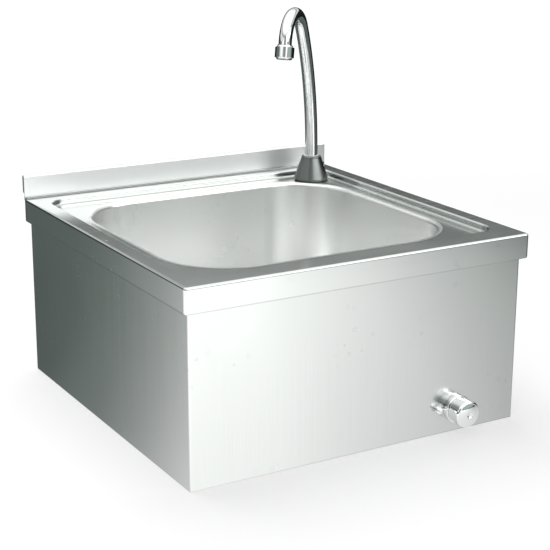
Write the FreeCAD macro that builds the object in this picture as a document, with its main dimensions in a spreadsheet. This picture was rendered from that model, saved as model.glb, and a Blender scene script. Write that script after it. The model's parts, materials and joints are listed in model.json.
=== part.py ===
import FreeCAD, Part
import os
import re

import Sketcher
from FreeCAD import Placement, Rotation, Vector

# Wall-hung hand wash sink in folded stainless sheet, with a swan-neck swivel spout and a
# self-closing push valve in the front panel.
#
# Frame: +Z up, +X to the right for someone who stands at the sink, the wall is the plane
# Y = 0 and the user stands on the -Y side. The origin is the middle of the two upper wall
# fixing slots, on the wall. All lengths are millimetres.

os.makedirs("parts", exist_ok=True)
doc = FreeCAD.newDocument("hand_wash_sink")

# ---------------------------------------------------------------------------------------
# Driving dimensions
# ---------------------------------------------------------------------------------------

SIZES = (
    ("overrun", 1, "how far a cut runs past the edge that it opens"),
    # worktop
    ("top_width", 450, "left to right over the skirt"),
    ("top_depth", 450, "front edge to the foot of the upstand"),
    ("overall_drop", 230, "worktop level to the lower edge of the casing"),
    ("fixing_drop", 42, "worktop level to the upper wall fixings"),
    ("top_sheet", 1.5, "thickness of the worktop sheet"),
    ("skirt_height", 30, "folded front and side edge of the worktop"),
    ("skirt_return", 5.2, "inward fold at the lower edge of the skirt"),
    ("skirt_bend", 2.6, "outside radius of the skirt's upper fold"),
    ("hem_bend", 2.3, "outside radius of the skirt's lower fold"),
    ("skirt_corner", 3.4, "front corners of the skirt in plan"),
    ("upstand_height", 30, "upstand above the worktop"),
    ("upstand_depth", 6, "upstand, front face to the wall"),
    ("upstand_back", 22.5, "folded back of the upstand"),
    ("upstand_cove", 3, "radius at the foot of the upstand"),
    ("recess_depth", 8, "anti-drip recess below the rim"),
    ("rim_side", 22, "raised rim beside the recess"),
    ("rim_front", 35, "raised rim in front of the recess"),
    ("rim_rear", 18, "raised rim behind the recess"),
    ("recess_corner", 26, "corner radius of the recess in plan"),
    ("recess_edge", 3, "rounding of the rim's inner edge"),
    ("recess_foot", 2.5, "rounding where the recess wall meets its floor"),
    # bowl
    ("bowl_side", 45, "edge of the worktop to the bowl's wall, left and right"),
    ("bowl_front", 65, "front edge of the worktop to the bowl's wall"),
    ("bowl_rear", 45, "foot of the upstand to the bowl's wall"),
    ("bowl_corner", 82, "inside corner radius in plan"),
    ("bowl_depth", 150, "worktop level to the bowl's floor"),
    ("bowl_sheet", 1, "thickness of the bowl"),
    ("bowl_draft", 3, "slope of the bowl's wall in degrees"),
    ("bowl_floor_r", 28, "radius between wall and floor"),
    ("bowl_roll", 5, "radius that rolls from the recess into the bowl"),
    ("bowl_land", 2, "flat land outside the roll, welded to the worktop"),
    ("dish_d", 150, "diameter of the dished middle of the floor"),
    ("dish_depth", 3, "fall of the dished middle"),
    ("sump_d", 92, "diameter of the pressed seat of the strainer"),
    ("sump_depth", 3, "depth of the pressed seat of the strainer"),
    ("sump_hole_d", 50, "hole for the waste"),
    ("pad_margin", 56, "top of the bowl's wall to the edge of the sound-damping pad, in plan"),
    ("pad_corner", 30, "corner radius of the pad"),
    ("pad_hole_d", 158, "hole of the pad, round the dished middle"),
    ("pad_sheet", 3, "thickness of the pad"),
    # casing
    ("casing_inset", 7, "casing behind the face of the skirt"),
    ("casing_sheet", 1.2, "thickness of the casing"),
    ("casing_bend", 2.4, "outside radius of the casing's front corners"),
    ("side_flange", 24, "top flange at the sides, from the outer face"),
    ("front_flange", 42, "top flange at the front, from the outer face"),
    ("hem", 14, "inward fold round the lower edge"),
    ("rear_flange", 20, "inward fold at the rear edges"),
    ("stud_inset", 18.5, "weld studs from the casing's side face"),
    ("stud_first", 80, "foremost side stud behind the casing's front face"),
    ("stud_last", 93, "rearmost side stud in front of the casing's rear edge"),
    ("stud_front_inset", 36, "front studs behind the casing's front face"),
    ("stud_front_side", 68, "front studs from the casing's side face"),
    ("stud_d", 5, "weld stud thread"),
    ("stud_length", 12, "weld stud below the recess floor"),
    ("stud_play", 0.25, "radial play of a stud in its hole"),
    # wall rail and lower brace
    ("rail_sheet", 2, "thickness of rail and brace"),
    ("rail_height", 70, "upper rail"),
    ("rail_shelf", 15, "rail's top fold under the worktop"),
    ("brace_height", 30, "lower brace"),
    ("brace_up", 3, "brace above the lower edge of the casing"),
    ("foot_width", 28, "end foot of rail and brace"),
    ("foot_play", 0.6, "foot end to the inside of the casing"),
    ("fixing_spacing", 300, "wall fixings, centre to centre"),
    ("fixing_slot_w", 9, "slot width in the rail"),
    ("fixing_slot_l", 20, "slot length in the rail, end to end"),
    ("brace_hole_d", 7, "round wall fixing hole in the brace"),
    ("rail_screw_d", 5, "screw through foot and rear flange"),
    ("rail_screw_inset", 10.5, "rail screws from the casing's side face"),
    ("rail_screw_drop", 22, "rail's upper screws below the worktop"),
    ("rail_screw_pitch", 36, "rail's upper screw to its lower screw"),
    # waste
    ("strainer_d", 88, "strainer rim"),
    ("strainer_sheet", 1.2, "strainer thickness"),
    ("strainer_cup_d", 46, "strainer cup, outside"),
    ("strainer_cup_depth", 10, "grid below the rim's seat"),
    ("strainer_hole_d", 5, "grid hole"),
    ("strainer_ring_a", 9.5, "radius of the inner ring of holes"),
    ("strainer_ring_b", 16.8, "radius of the outer ring of holes"),
    ("strainer_gasket", 1, "thickness of the upper gasket"),
    ("waste_gasket", 1.5, "thickness of the lower gasket"),
    ("waste_flange_d", 70, "flange of the waste body"),
    ("waste_flange_t", 3, "thickness of that flange"),
    ("waste_thread_d", 47.8, "outlet thread of the waste body"),
    ("waste_thread_l", 28, "length of the outlet thread"),
    ("waste_length", 55, "waste body below the lower gasket"),
    ("waste_bore_d", 40, "bore of the outlet"),
    ("waste_screw_d", 6, "screw that draws strainer and body together"),
    ("waste_screw_l", 24, "length of that screw"),
    # tap, fixed
    ("tap_side", 51, "tap axis from the worktop's right edge"),
    ("tap_wall", 53, "tap axis from the wall"),
    ("tap_hole_d", 23, "hole in the worktop"),
    ("tap_gasket", 1.2, "thickness of the base gasket"),
    ("cone_foot_d", 46, "foot of the conical base"),
    ("cone_top_d", 27, "shoulder of the conical base"),
    ("cone_height", 34, "top of the conical base above the recess floor"),
    ("cone_wall", 2.2, "wall of the conical base"),
    ("cone_shoulder", 3, "rounding at the shoulder"),
    ("shank_d", 22, "thread of the shank"),
    ("shank_up", 26, "top of the shank above the recess floor"),
    ("shank_down", 46, "thread of the shank below the recess floor"),
    ("shank_tail_d", 16.6, "thread of the shank's tail"),
    ("shank_tail_l", 12, "length of the shank's tail"),
    ("shank_collar_d", 34, "collar that sits on the base gasket"),
    ("shank_collar_t", 3, "thickness of the collar"),
    ("shank_bore_d", 12, "water way"),
    ("backnut_af", 30, "backnut across flats"),
    ("backnut_t", 7, "backnut thickness"),
    ("rubber_t", 2, "rubber washer under the worktop"),
    ("steel_t", 1.5, "steel washer under the rubber washer"),
    # tap, turning
    ("spout_d", 17, "spout tube"),
    ("spout_wall", 1, "wall of the spout tube"),
    ("spout_foot", 13, "lower end of the tube above the recess floor"),
    ("spout_heading", 222.2, "heading of the spout about +Z, from +X, in degrees"),
    ("spout_rise_r", 335, "radius of the long rising bend"),
    ("spout_lean", 33, "angle at which the rising bend ends, in degrees"),
    ("spout_crook_r", 39, "radius of the crook"),
    ("spout_outlet", 168, "heading of the outlet from straight up, in degrees"),
    ("spout_tail", 4, "straight end of the tube"),
    ("running_play", 0.06, "radial play where round parts turn or slide"),
    ("spigot_foot", 3, "lower end of the spigot above the recess floor"),
    ("o_ring_d", 1.5, "O-ring cord"),
    ("bush_d", 21, "bush in the top of the conical base"),
    ("bush_length", 5, "length of the bush"),
    ("clip_t", 1.5, "thickness of the spout's retaining clip"),
    ("aerator_d", 24.6, "aerator housing"),
    ("aerator_gap", 0.3, "gap between the tube's end and the housing"),
    ("aerator_length", 18, "aerator housing"),
    ("aerator_round", 2.6, "rounding of the housing's ends"),
    ("aerator_bore_d", 20, "bore of the housing"),
    ("outlet_collar_d", 19, "threaded collar on the spout's end"),
    ("outlet_collar_l", 8, "collar inside the aerator housing"),
    # push valve
    ("valve_side", 92.4, "valve axis from the worktop's right edge"),
    ("valve_up", 27.9, "valve axis above the casing's lower edge"),
    ("neck_d", 24.8, "threaded neck through the panel"),
    ("neck_out", 12, "neck in front of the panel"),
    ("panel_play", 0.5, "radial play of the neck in the panel"),
    ("panel_washer", 1, "rubber washer behind the panel"),
    ("valve_flange_d", 36, "flange of the valve behind the panel"),
    ("valve_flange_t", 5, "thickness of that flange"),
    ("barrel_d", 30, "barrel of the valve"),
    ("barrel_length", 54, "barrel behind its flange"),
    ("chamber_d", 21, "chamber of the piston"),
    ("port_back", 38, "inlet ports behind the flange"),
    ("port_d", 18, "inlet boss"),
    ("port_out", 26, "face of the inlet boss from the valve axis"),
    ("water_way_d", 8, "outlet water way"),
    ("outlet_d", 16.6, "outlet thread"),
    ("outlet_l", 12, "outlet thread length"),
    ("clamp_d", 28, "round clamp nut on the neck"),
    ("clamp_t", 3, "thickness of the clamp nut"),
    ("ring_d", 34, "mixing ring"),
    ("ring_t", 5.7, "mixing ring, front to back"),
    ("ring_gap", 0.3, "gap between turning and fixed faces"),
    ("sleeve_d", 30, "chromed sleeve behind the button"),
    ("sleeve_length", 9.2, "length of the sleeve"),
    ("cap_d", 32.4, "button cap over its rim"),
    ("cap_skirt", 8.1, "straight skirt of the button cap"),
    ("cap_bulge", 2, "rise of the button's shallow dome"),
    ("cap_edge", 3, "rounding of the button's edge"),
    ("cap_crown", 3.8, "thickness of the crown in its middle"),
    ("cap_travel", 8, "travel of the button"),
    ("dimple_d", 8, "dimple in the button's face"),
    ("dimple_depth", 1.4, "depth of the dimple"),
    ("stem_d", 8, "button stem"),
    ("piston_at", 16, "front of the piston behind the panel's face"),
    ("piston_t", 6, "piston thickness"),
    ("piston_play", 0.7, "radial play of the bare piston"),
    ("seal_t", 3, "piston seal thickness"),
    ("seal_play", 0.1, "radial play of the seal"),
    ("spring_mean_d", 15, "return spring, middle of the wire"),
    ("spring_wire_d", 1.8, "wire of the return spring"),
    ("spring_turns", 6, "turns of the return spring"),
    # temperature lever
    ("lever_tilt", 7.8, "lever above the level, in degrees"),
    ("lever_out", 4.6, "lever away from the panel, in degrees"),
    ("lever_reach", 28.6, "ball centre from the valve axis"),
    ("lever_rod_d", 3.4, "lever rod"),
    ("lever_ball_d", 9.6, "lever ball"),
    ("lever_seat", 0.3, "depth of the flat of the ball on the rod"),
    # inlets and riser
    ("inlet_d", 20.9, "inlet thread"),
    ("inlet_l", 12, "inlet thread length"),
    ("inlet_af", 22, "hexagon of the inlet nipple"),
    ("inlet_hex_t", 6, "thickness of that hexagon"),
    ("inlet_bore_d", 12, "bore of the inlet nipple"),
    ("screen_t", 1, "inlet screen"),
    ("riser_d", 10, "riser tube"),
    ("riser_wall", 1, "wall of the riser tube"),
    ("riser_bend", 18, "bend radius of the riser tube"),
    ("riser_entry", 8, "riser tube inside each thread"),
    ("riser_nut_af", 21, "riser nuts across flats"),
    ("riser_nut_t", 11, "riser nut length"),
    ("riser_play", 0.1, "radial play of the riser tube"),
)

sheet = doc.addObject("Spreadsheet::Sheet", "Sizes")
for row, (alias, size, meaning) in enumerate(SIZES, start=1):
    sheet.set(f"A{row}", meaning)
    sheet.set(f"B{row}", str(size))
    sheet.setAlias(f"B{row}", alias)
doc.recompute()
ALIASES = {alias for alias, size, meaning in SIZES}


def bound(text):
    """An expression in plain aliases, such as "top_width / 2", with the sheet's name added."""
    return re.sub(r"[a-z_]+", lambda word: f"Sizes.{word[0]}" if word[0] in ALIASES else word[0], text)


def size_of(text):
    """The present value of an expression in plain aliases."""
    return float(sheet.evalExpression(bound(text)))


# Levels and planes that several pieces share, as expressions.
WORKTOP = "fixing_drop"
RECESS = "(fixing_drop - recess_depth)"
CASING_TOP = "(fixing_drop - recess_depth - top_sheet)"
LOWER_EDGE = "(fixing_drop - overall_drop)"
FRONT = "(-upstand_depth - top_depth)"
REAR = "(-upstand_depth)"
PANEL = "(-upstand_depth - top_depth + casing_inset)"
CASING_HALF = "(top_width / 2 - casing_inset)"
RECESS_HALF = "(top_width / 2 - rim_side)"
RECESS_FRONT = "(-upstand_depth - top_depth + rim_front)"
RECESS_REAR = "(-upstand_depth - rim_rear)"
BOWL_LENGTH = "(top_width - 2 * bowl_side)"
BOWL_BREADTH = "(top_depth - bowl_front - bowl_rear)"
BOWL_Y = "(-upstand_depth - bowl_rear - (top_depth - bowl_front - bowl_rear) / 2)"
BOWL_WALL = "(bowl_depth - recess_depth)"
SUMP = "(fixing_drop - bowl_depth - dish_depth - sump_depth)"
TAP_X = "(top_width / 2 - tap_side)"
TAP_Y = "(-tap_wall)"
VALVE_X = "(top_width / 2 - valve_side)"
VALVE_Z = "(fixing_drop - overall_drop + valve_up)"
TURNS = {"up": (0, 0, 0), "back": (0, 0, -90), "left": (0, -90, 0), "right": (0, 90, 0)}

nodes = []


# ---------------------------------------------------------------------------------------
# Drawing helpers
# ---------------------------------------------------------------------------------------

def new_body(label):
    body = doc.addObject("PartDesign::Body", label)
    body.Label = label
    return body


def place(item, x="0", y="0", z="0", turn="up"):
    """Put a finished piece in the sink: local +Z goes up, back, left or right."""
    yaw, pitch, roll = TURNS[turn]
    item.Placement = Placement(Vector(), Rotation(yaw, pitch, roll))
    item.setExpression("Placement.Base.x", bound(x))
    item.setExpression("Placement.Base.y", bound(y))
    item.setExpression("Placement.Base.z", bound(z))


def keep(item):
    """Count a finished piece among the exported nodes."""
    nodes.append(item)
    return item


def sketch_on(body, role, name, offset="0"):
    """A sketch on one of the body's origin planes, lifted off it by the offset."""
    sketch = body.newObject("Sketcher::SketchObject", f"{body.Name}_{name}")
    plane = next(feature for feature in body.Origin.OriginFeatures if feature.Role == role)
    sketch.AttachmentSupport = (plane, [""])
    sketch.MapMode = "FlatFace"
    sketch.setExpression("AttachmentOffset.Base.z", bound(offset))
    return sketch


def arc_between(start, end, radius):
    """Arc from start to end; a positive radius turns left on the way, a negative one right."""
    chord = end - start
    reach = max(radius * radius - chord.Length ** 2 / 4, 0) ** 0.5
    across = Vector(-chord.y, chord.x, 0).normalize()
    side = 1 if radius > 0 else -1
    centre = (start + end) * 0.5 + across * reach * side
    middle = centre + ((start + end) * 0.5 - centre).normalize() * abs(radius)
    return Part.Arc(start, middle, end)


def draw(sketch, corners, closed=True):
    """Lines and arcs through corners of expressions: (x, y), or (x, y, radius) where an arc
    ends. Every corner's coordinates and every radius are dimensions bound to the sheet."""
    spots = [Vector(size_of(corner[0]), size_of(corner[1]), 0) for corner in corners]
    first = 0 if closed else 1
    edges = []
    for index in range(first, len(corners)):
        start, end, corner = spots[index - 1], spots[index], corners[index]
        if len(corner) == 3:
            radius = size_of(corner[2])
            edge = sketch.addGeometry(arc_between(start, end, radius), False)
            turns_left = radius > 0
            edges.append((edge, 1 if turns_left else 2, 2 if turns_left else 1, corner))
        else:
            edge = sketch.addGeometry(Part.LineSegment(start, end), False)
            edges.append((edge, 1, 2, corner))

    def dimension(kind, edge, point, text):
        value = size_of(text)
        parts = (kind, edge, value) if point is None else (kind, edge, point, value)
        number = sketch.addConstraint(Sketcher.Constraint(*parts))
        sketch.setExpression(f"Constraints[{number}]", bound(text))

    def pin(edge, point, corner):
        dimension("DistanceX", edge, point, corner[0])
        dimension("DistanceY", edge, point, corner[1])

    if not closed:
        pin(edges[0][0], edges[0][1], corners[0])
    for position, (edge, start_point, end_point, corner) in enumerate(edges):
        pin(edge, end_point, corner)
        if position or closed:
            before = edges[position - 1]
            sketch.addConstraint(
                Sketcher.Constraint("Coincident", before[0], before[2], edge, start_point))
        if len(corner) == 3:
            dimension("Radius", edge, None, f"abs({corner[2]})")
    return sketch


def draw_box(sketch, low_x, high_x, low_y, high_y):
    draw(sketch, ((low_x, low_y), (high_x, low_y), (high_x, high_y), (low_x, high_y)))


def draw_rounded(sketch, low_x, high_x, low_y, high_y, radius):
    """A rectangle with four equal corner arcs."""
    draw(sketch, (
        (f"{high_x} - ({radius})", low_y),
        (high_x, f"{low_y} + ({radius})", radius),
        (high_x, f"{high_y} - ({radius})"),
        (f"{high_x} - ({radius})", high_y, radius),
        (f"{low_x} + ({radius})", high_y),
        (low_x, f"{high_y} - ({radius})", radius),
        (low_x, f"{low_y} + ({radius})"),
        (f"{low_x} + ({radius})", low_y, radius),
    ))


def draw_circle(sketch, x, y, diameter):
    edge = sketch.addGeometry(
        Part.Circle(Vector(size_of(x), size_of(y), 0), Vector(0, 0, 1), size_of(diameter) / 2), False)
    for kind, text in (("DistanceX", x), ("DistanceY", y)):
        number = sketch.addConstraint(Sketcher.Constraint(kind, edge, 3, size_of(text)))
        sketch.setExpression(f"Constraints[{number}]", bound(text))
    number = sketch.addConstraint(Sketcher.Constraint("Diameter", edge, size_of(diameter)))
    sketch.setExpression(f"Constraints[{number}]", bound(diameter))


def draw_hexagon(sketch, across_flats):
    point = f"{across_flats} / sqrt(3)"
    half = f"{across_flats} / 2"
    draw(sketch, (
        (point, "0"), (f"{point} / 2", half), (f"-{point} / 2", half),
        (f"-{point}", "0"), (f"-{point} / 2", f"-{half}"), (f"{point} / 2", f"-{half}"),
    ))


# ---------------------------------------------------------------------------------------
# Feature helpers
# ---------------------------------------------------------------------------------------

def feature(body, kind, name, sketch):
    item = body.newObject(f"PartDesign::{kind}", f"{body.Name}_{name}")
    item.Profile = sketch
    sketch.Visibility = False
    return item


def pad(body, name, sketch, length, down=False, taper=None):
    item = feature(body, "Pad", name, sketch)
    item.setExpression("Length", bound(length))
    item.Reversed = down
    if taper:
        item.setExpression("TaperAngle", bound(taper))
    doc.recompute()
    return item


def pocket(body, name, sketch, length, taper=None, up=False):
    """Cut along the sketch's negative normal, or its positive one, and prove that it cut."""
    before = body.Shape.Volume
    item = feature(body, "Pocket", name, sketch)
    item.setExpression("Length", bound(length))
    item.Reversed = up
    if taper:
        item.setExpression("TaperAngle", bound(taper))
    doc.recompute()
    if body.Shape.Volume >= before:
        raise RuntimeError(f"{item.Name} cuts nothing")
    return item


def turn(body, name, corners, cut=False):
    """Turn an outline of (radius, height) corners about the body's own Z axis."""
    before = body.Shape.Volume if cut else 0
    sketch = draw(sketch_on(body, "XZ_Plane", f"{name}_outline"), corners)
    item = feature(body, "Groove" if cut else "Revolution", name, sketch)
    item.ReferenceAxis = (sketch, ["V_Axis"])
    item.Angle = 360
    doc.recompute()
    if cut and body.Shape.Volume >= before:
        raise RuntimeError(f"{item.Name} cuts nothing")
    return item


def edges_where(shape, test):
    """Names of the edges whose bounding box satisfies the test."""
    return [f"Edge{number}" for number, edge in enumerate(shape.Edges, start=1) if test(edge.BoundBox)]


def soften(body, name, radius, test):
    """Round the edges of the body's present tip that satisfy the test."""
    base = body.Tip
    names = edges_where(base.Shape, test)
    if not names:
        raise RuntimeError(f"{body.Name}_{name} finds no edge")
    item = body.newObject("PartDesign::Fillet", f"{body.Name}_{name}")
    item.Base = (base, names)
    item.setExpression("Radius", bound(radius))
    doc.recompute()
    if item.Shape.isNull():
        raise RuntimeError(f"{item.Name} can't be rounded")
    return item


def near(number, text):
    return abs(number - size_of(text)) < 0.01


def level_edge(box, height):
    """True for an edge that lies flat at the height."""
    return near(box.ZMin, height) and near(box.ZMax, height)


def round_about(body, name, cut, count):
    """Repeat a cut about the body's Z axis."""
    item = body.newObject("PartDesign::PolarPattern", f"{body.Name}_{name}")
    item.Originals = [cut]
    axis = next(feature for feature in body.Origin.OriginFeatures if feature.Role == "Z_Axis")
    item.Axis = (axis, [""])
    item.Angle = 360
    item.Occurrences = count
    body.Tip = item
    doc.recompute()
    return item


def turned(label, corners, x, y, z, turn_to="up"):
    """A whole piece made by turning one outline."""
    body = new_body(label)
    turn(body, "turning", corners)
    place(body, x, y, z, turn_to)
    return keep(body)


def washer(label, inner_d, outer_d, low, high, x, y, z, turn_to="up"):
    return turned(label, (
        (f"({inner_d}) / 2", low), (f"({outer_d}) / 2", low),
        (f"({outer_d}) / 2", high), (f"({inner_d}) / 2", high),
    ), x, y, z, turn_to)


def grouped(label, pattern, spots):
    """One node with a separate copy of the pattern's solid at every spot."""
    copies = []
    for spot in spots:
        copy = pattern.Shape.copy()
        copy.translate(Vector(*[size_of(text) for text in spot]))
        copies.append(copy)
    group = doc.addObject("Part::Feature", label)
    group.Label = label
    group.Shape = Part.makeCompound(copies)
    return keep(group)


# ---------------------------------------------------------------------------------------
# Worktop, bowl and damping pad
# ---------------------------------------------------------------------------------------

def make_deck_top():
    """Folded sheet: skirt with a small return, raised rim, pressed recess, upstand."""
    body = new_body("deck_top")
    half = "top_width / 2"
    inner = "top_width / 2 - top_sheet"
    past_rear = "-upstand_depth + overrun"

    outline = sketch_on(body, "XY_Plane", "outline")
    draw_box(outline, f"-{half}", half, FRONT, REAR)
    pad(body, "slab", outline, "skirt_height", down=True)
    soften(body, "skirt_corners", "skirt_corner",
           lambda box: near(box.YMin, FRONT) and near(box.YMax, FRONT) and box.ZLength > 1)

    under = sketch_on(body, "XY_Plane", "under", "-recess_depth - top_sheet")
    draw_box(under, f"-({inner})", inner, f"{FRONT} + top_sheet", past_rear)
    pocket(body, "inside", under, "skirt_height - recess_depth - 2 * top_sheet")

    mouth = sketch_on(body, "XY_Plane", "mouth", "-skirt_height + top_sheet")
    draw_box(mouth, f"-({inner} - skirt_return)", f"{inner} - skirt_return",
             f"{FRONT} + top_sheet + skirt_return", past_rear)
    pocket(body, "lower_mouth", mouth, "top_sheet")

    rim = sketch_on(body, "XY_Plane", "rim", "-top_sheet")
    draw_box(rim, f"-({inner})", inner, f"{FRONT} + top_sheet", past_rear)
    draw_rounded(rim, f"-({RECESS_HALF} + top_sheet)", f"{RECESS_HALF} + top_sheet",
                 f"{RECESS_FRONT} - top_sheet", f"{RECESS_REAR} + top_sheet",
                 "recess_corner + top_sheet")
    pocket(body, "rim_underside", rim, "recess_depth")

    recess = sketch_on(body, "XY_Plane", "recess")
    draw_rounded(recess, f"-{RECESS_HALF}", RECESS_HALF, RECESS_FRONT, RECESS_REAR, "recess_corner")
    pocket(body, "recess_cut", recess, "recess_depth")

    for name, level, radius in (("folds", "0", "skirt_bend"), ("hem", "-skirt_height", "hem_bend")):
        soften(body, f"skirt_{name}", radius,
               lambda box: level_edge(box, level)
               and (near(box.XMin, f"-{half}") and near(box.XMax, f"-{half}")
                    or near(box.XMin, half) and near(box.XMax, half)
                    or near(box.YMin, FRONT) and near(box.YMax, FRONT)))

    profile = sketch_on(body, "YZ_Plane", "upstand_outline", "-top_width / 2")
    bend = "skirt_bend"
    draw(profile, (
        (REAR, "-top_sheet"),
        (f"{REAR} + top_sheet", "-top_sheet"),
        (f"{REAR} + top_sheet", "upstand_height - top_sheet"),
        ("-top_sheet", "upstand_height - top_sheet"),
        ("-top_sheet", "upstand_height - upstand_back"),
        ("0", "upstand_height - upstand_back"),
        ("0", f"upstand_height - {bend}"),
        (f"-{bend}", "upstand_height", bend),
        (f"{REAR} + {bend}", "upstand_height"),
        (REAR, f"upstand_height - {bend}", bend),
    ))
    pad(body, "upstand", profile, "top_width")

    for name, offset in (("left_end", "-top_width / 2"), ("right_end", "top_width / 2 - top_sheet")):
        end = sketch_on(body, "YZ_Plane", f"{name}_outline", offset)
        draw_box(end, f"{REAR} + top_sheet / 2", "-top_sheet / 2",
                 "upstand_height - upstand_back", "upstand_height - top_sheet / 2")
        pad(body, name, end, "top_sheet")

    cove = sketch_on(body, "YZ_Plane", "cove_outline", f"-{half} + skirt_bend")
    draw(cove, (
        (f"{REAR} - upstand_cove", "0", "-upstand_cove"),
        (f"{REAR} - upstand_cove", "-top_sheet / 2"), (f"{REAR} + top_sheet / 2", "-top_sheet / 2"),
        (f"{REAR} + top_sheet / 2", "upstand_cove"), (REAR, "upstand_cove"),
    ))
    pad(body, "cove", cove, "top_width - 2 * skirt_bend")
    soften(body, "rim_edge", "recess_edge",
           lambda box: level_edge(box, "0") and box.XMin > -size_of(RECESS_HALF) - 0.1
           and box.XMax < size_of(RECESS_HALF) + 0.1 and box.YMax < size_of(RECESS_REAR) + 0.1
           and box.YMin > size_of(RECESS_FRONT) - 0.1)
    soften(body, "recess_foot", "recess_foot",
           lambda box: level_edge(box, "-recess_depth"))

    opening = sketch_on(body, "XY_Plane", "bowl_opening", "-recess_depth")
    half_length = f"{BOWL_LENGTH} / 2 + bowl_roll + bowl_land"
    half_breadth = f"{BOWL_BREADTH} / 2 + bowl_roll + bowl_land"
    draw_rounded(opening, f"-({half_length})", half_length, f"{BOWL_Y} - ({half_breadth})",
                 f"{BOWL_Y} + ({half_breadth})", "bowl_corner + bowl_roll + bowl_land")
    pocket(body, "bowl_cut", opening, "top_sheet")

    tap_hole = sketch_on(body, "XY_Plane", "tap_hole", "-recess_depth")
    draw_circle(tap_hole, TAP_X, TAP_Y, "tap_hole_d")
    pocket(body, "tap_cut", tap_hole, "top_sheet")

    place(body, z=WORKTOP)
    return keep(body)


def make_bowl():
    """Pressed shell: land, roll, drafted wall, floor with a dished middle and a sump."""
    body = new_body("bowl")
    half_length = f"{BOWL_LENGTH} / 2"
    half_breadth = f"{BOWL_BREADTH} / 2"

    def rounded(owner, name, grow):
        sketch = sketch_on(owner, "XY_Plane", name)
        draw_rounded(sketch, f"-({half_length} + {grow})", f"{half_length} + {grow}",
                     f"-({half_breadth} + {grow})", f"{half_breadth} + {grow}",
                     f"bowl_corner + {grow}")
        return sketch

    def within(box, grow):
        reach_x = size_of(f"{half_length} + {grow}") + 0.1
        reach_y = size_of(f"{half_breadth} + {grow}") + 0.1
        return max(abs(box.XMin), abs(box.XMax)) < reach_x and max(abs(box.YMin), abs(box.YMax)) < reach_y

    pad(body, "shell", rounded(body, "wall", "bowl_sheet"), f"{BOWL_WALL} + bowl_sheet",
        down=True, taper="-bowl_draft")
    soften(body, "outer_floor", "bowl_floor_r + bowl_sheet",
           lambda box: level_edge(box, f"-{BOWL_WALL} - bowl_sheet"))
    pad(body, "land", rounded(body, "land_outline", "(bowl_roll + bowl_land)"), "bowl_sheet", down=True)
    soften(body, "under_roll", "bowl_roll - bowl_sheet",
           lambda box: level_edge(box, "-bowl_sheet") and within(box, "bowl_sheet"))

    floor = f"-{BOWL_WALL}"
    sump = f"(-{BOWL_WALL} - dish_depth - sump_depth)"
    turn(body, "dish_underside", (
        ("0", f"{floor} - bowl_sheet / 2"),
        ("dish_d / 2", f"{floor} - bowl_sheet / 2"),
        ("dish_d / 2", f"{floor} - bowl_sheet"),
        ("sump_d / 2 + bowl_sheet", f"{floor} - dish_depth - bowl_sheet"),
        ("sump_d / 2 + bowl_sheet", f"{sump} - bowl_sheet"),
        ("0", f"{sump} - bowl_sheet"),
    ))

    cavity = new_body("bowl_cavity")
    pad(cavity, "room", rounded(cavity, "room_outline", "0"), BOWL_WALL, down=True,
        taper="-bowl_draft")
    soften(cavity, "floor", "bowl_floor_r", lambda box: level_edge(box, floor))
    hollow = body.newObject("PartDesign::Boolean", "bowl_hollow")
    hollow.Type = "Cut"
    hollow.setObjects([cavity])
    doc.recompute()
    soften(body, "roll", "bowl_roll", lambda box: level_edge(box, "0") and within(box, "0"))
    turn(body, "dish", (
        ("0", f"{floor} + bowl_sheet"),
        ("dish_d / 2", f"{floor} + bowl_sheet"),
        ("dish_d / 2", floor),
        ("sump_d / 2", f"{floor} - dish_depth"),
        ("sump_d / 2", sump),
        ("0", sump),
    ), cut=True)
    hole = sketch_on(body, "XY_Plane", "waste_hole", sump)
    draw_circle(hole, "0", "0", "sump_hole_d")
    pocket(body, "waste_cut", hole, "bowl_sheet")
    place(body, y=BOWL_Y, z=RECESS)
    return keep(body)


def make_sound_pad():
    """Flat damping pad stuck under the bowl's floor, round the dished middle."""
    body = new_body("sound_pad")
    sketch = sketch_on(body, "XY_Plane", "outline")
    half_length = f"({BOWL_LENGTH} / 2 - pad_margin)"
    half_breadth = f"({BOWL_BREADTH} / 2 - pad_margin)"
    draw_rounded(sketch, f"-{half_length}", half_length, f"-{half_breadth}", half_breadth,
                 "pad_corner")
    draw_circle(sketch, "0", "0", "pad_hole_d")
    pad(body, "sheet", sketch, "pad_sheet", down=True)
    place(body, y=BOWL_Y, z="fixing_drop - bowl_depth - bowl_sheet")
    return keep(body)


# ---------------------------------------------------------------------------------------
# Casing, rail, brace and their fasteners
# ---------------------------------------------------------------------------------------

STUD_PITCH = "((top_depth - casing_inset - stud_first - stud_last) / 2)"
SIDE_STUDS = [(f"{side} * ({CASING_HALF} - stud_inset)", f"{PANEL} + stud_first + {step} * {STUD_PITCH}",
               CASING_TOP) for side in (-1, 1) for step in (0, 1, 2)]
FRONT_STUDS = [(f"{side} * ({CASING_HALF} - stud_front_side)", f"{PANEL} + stud_front_inset", CASING_TOP)
               for side in (-1, 1)]
STUDS = SIDE_STUDS + FRONT_STUDS
RAIL_SCREWS = [(f"{side} * ({CASING_HALF} - rail_screw_inset)", REAR, height)
               for side in (-1, 1)
               for height in (f"{WORKTOP} - rail_screw_drop",
                              f"{WORKTOP} - rail_screw_drop - rail_screw_pitch",
                              f"{LOWER_EDGE} + brace_up + brace_height / 2")]


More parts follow.
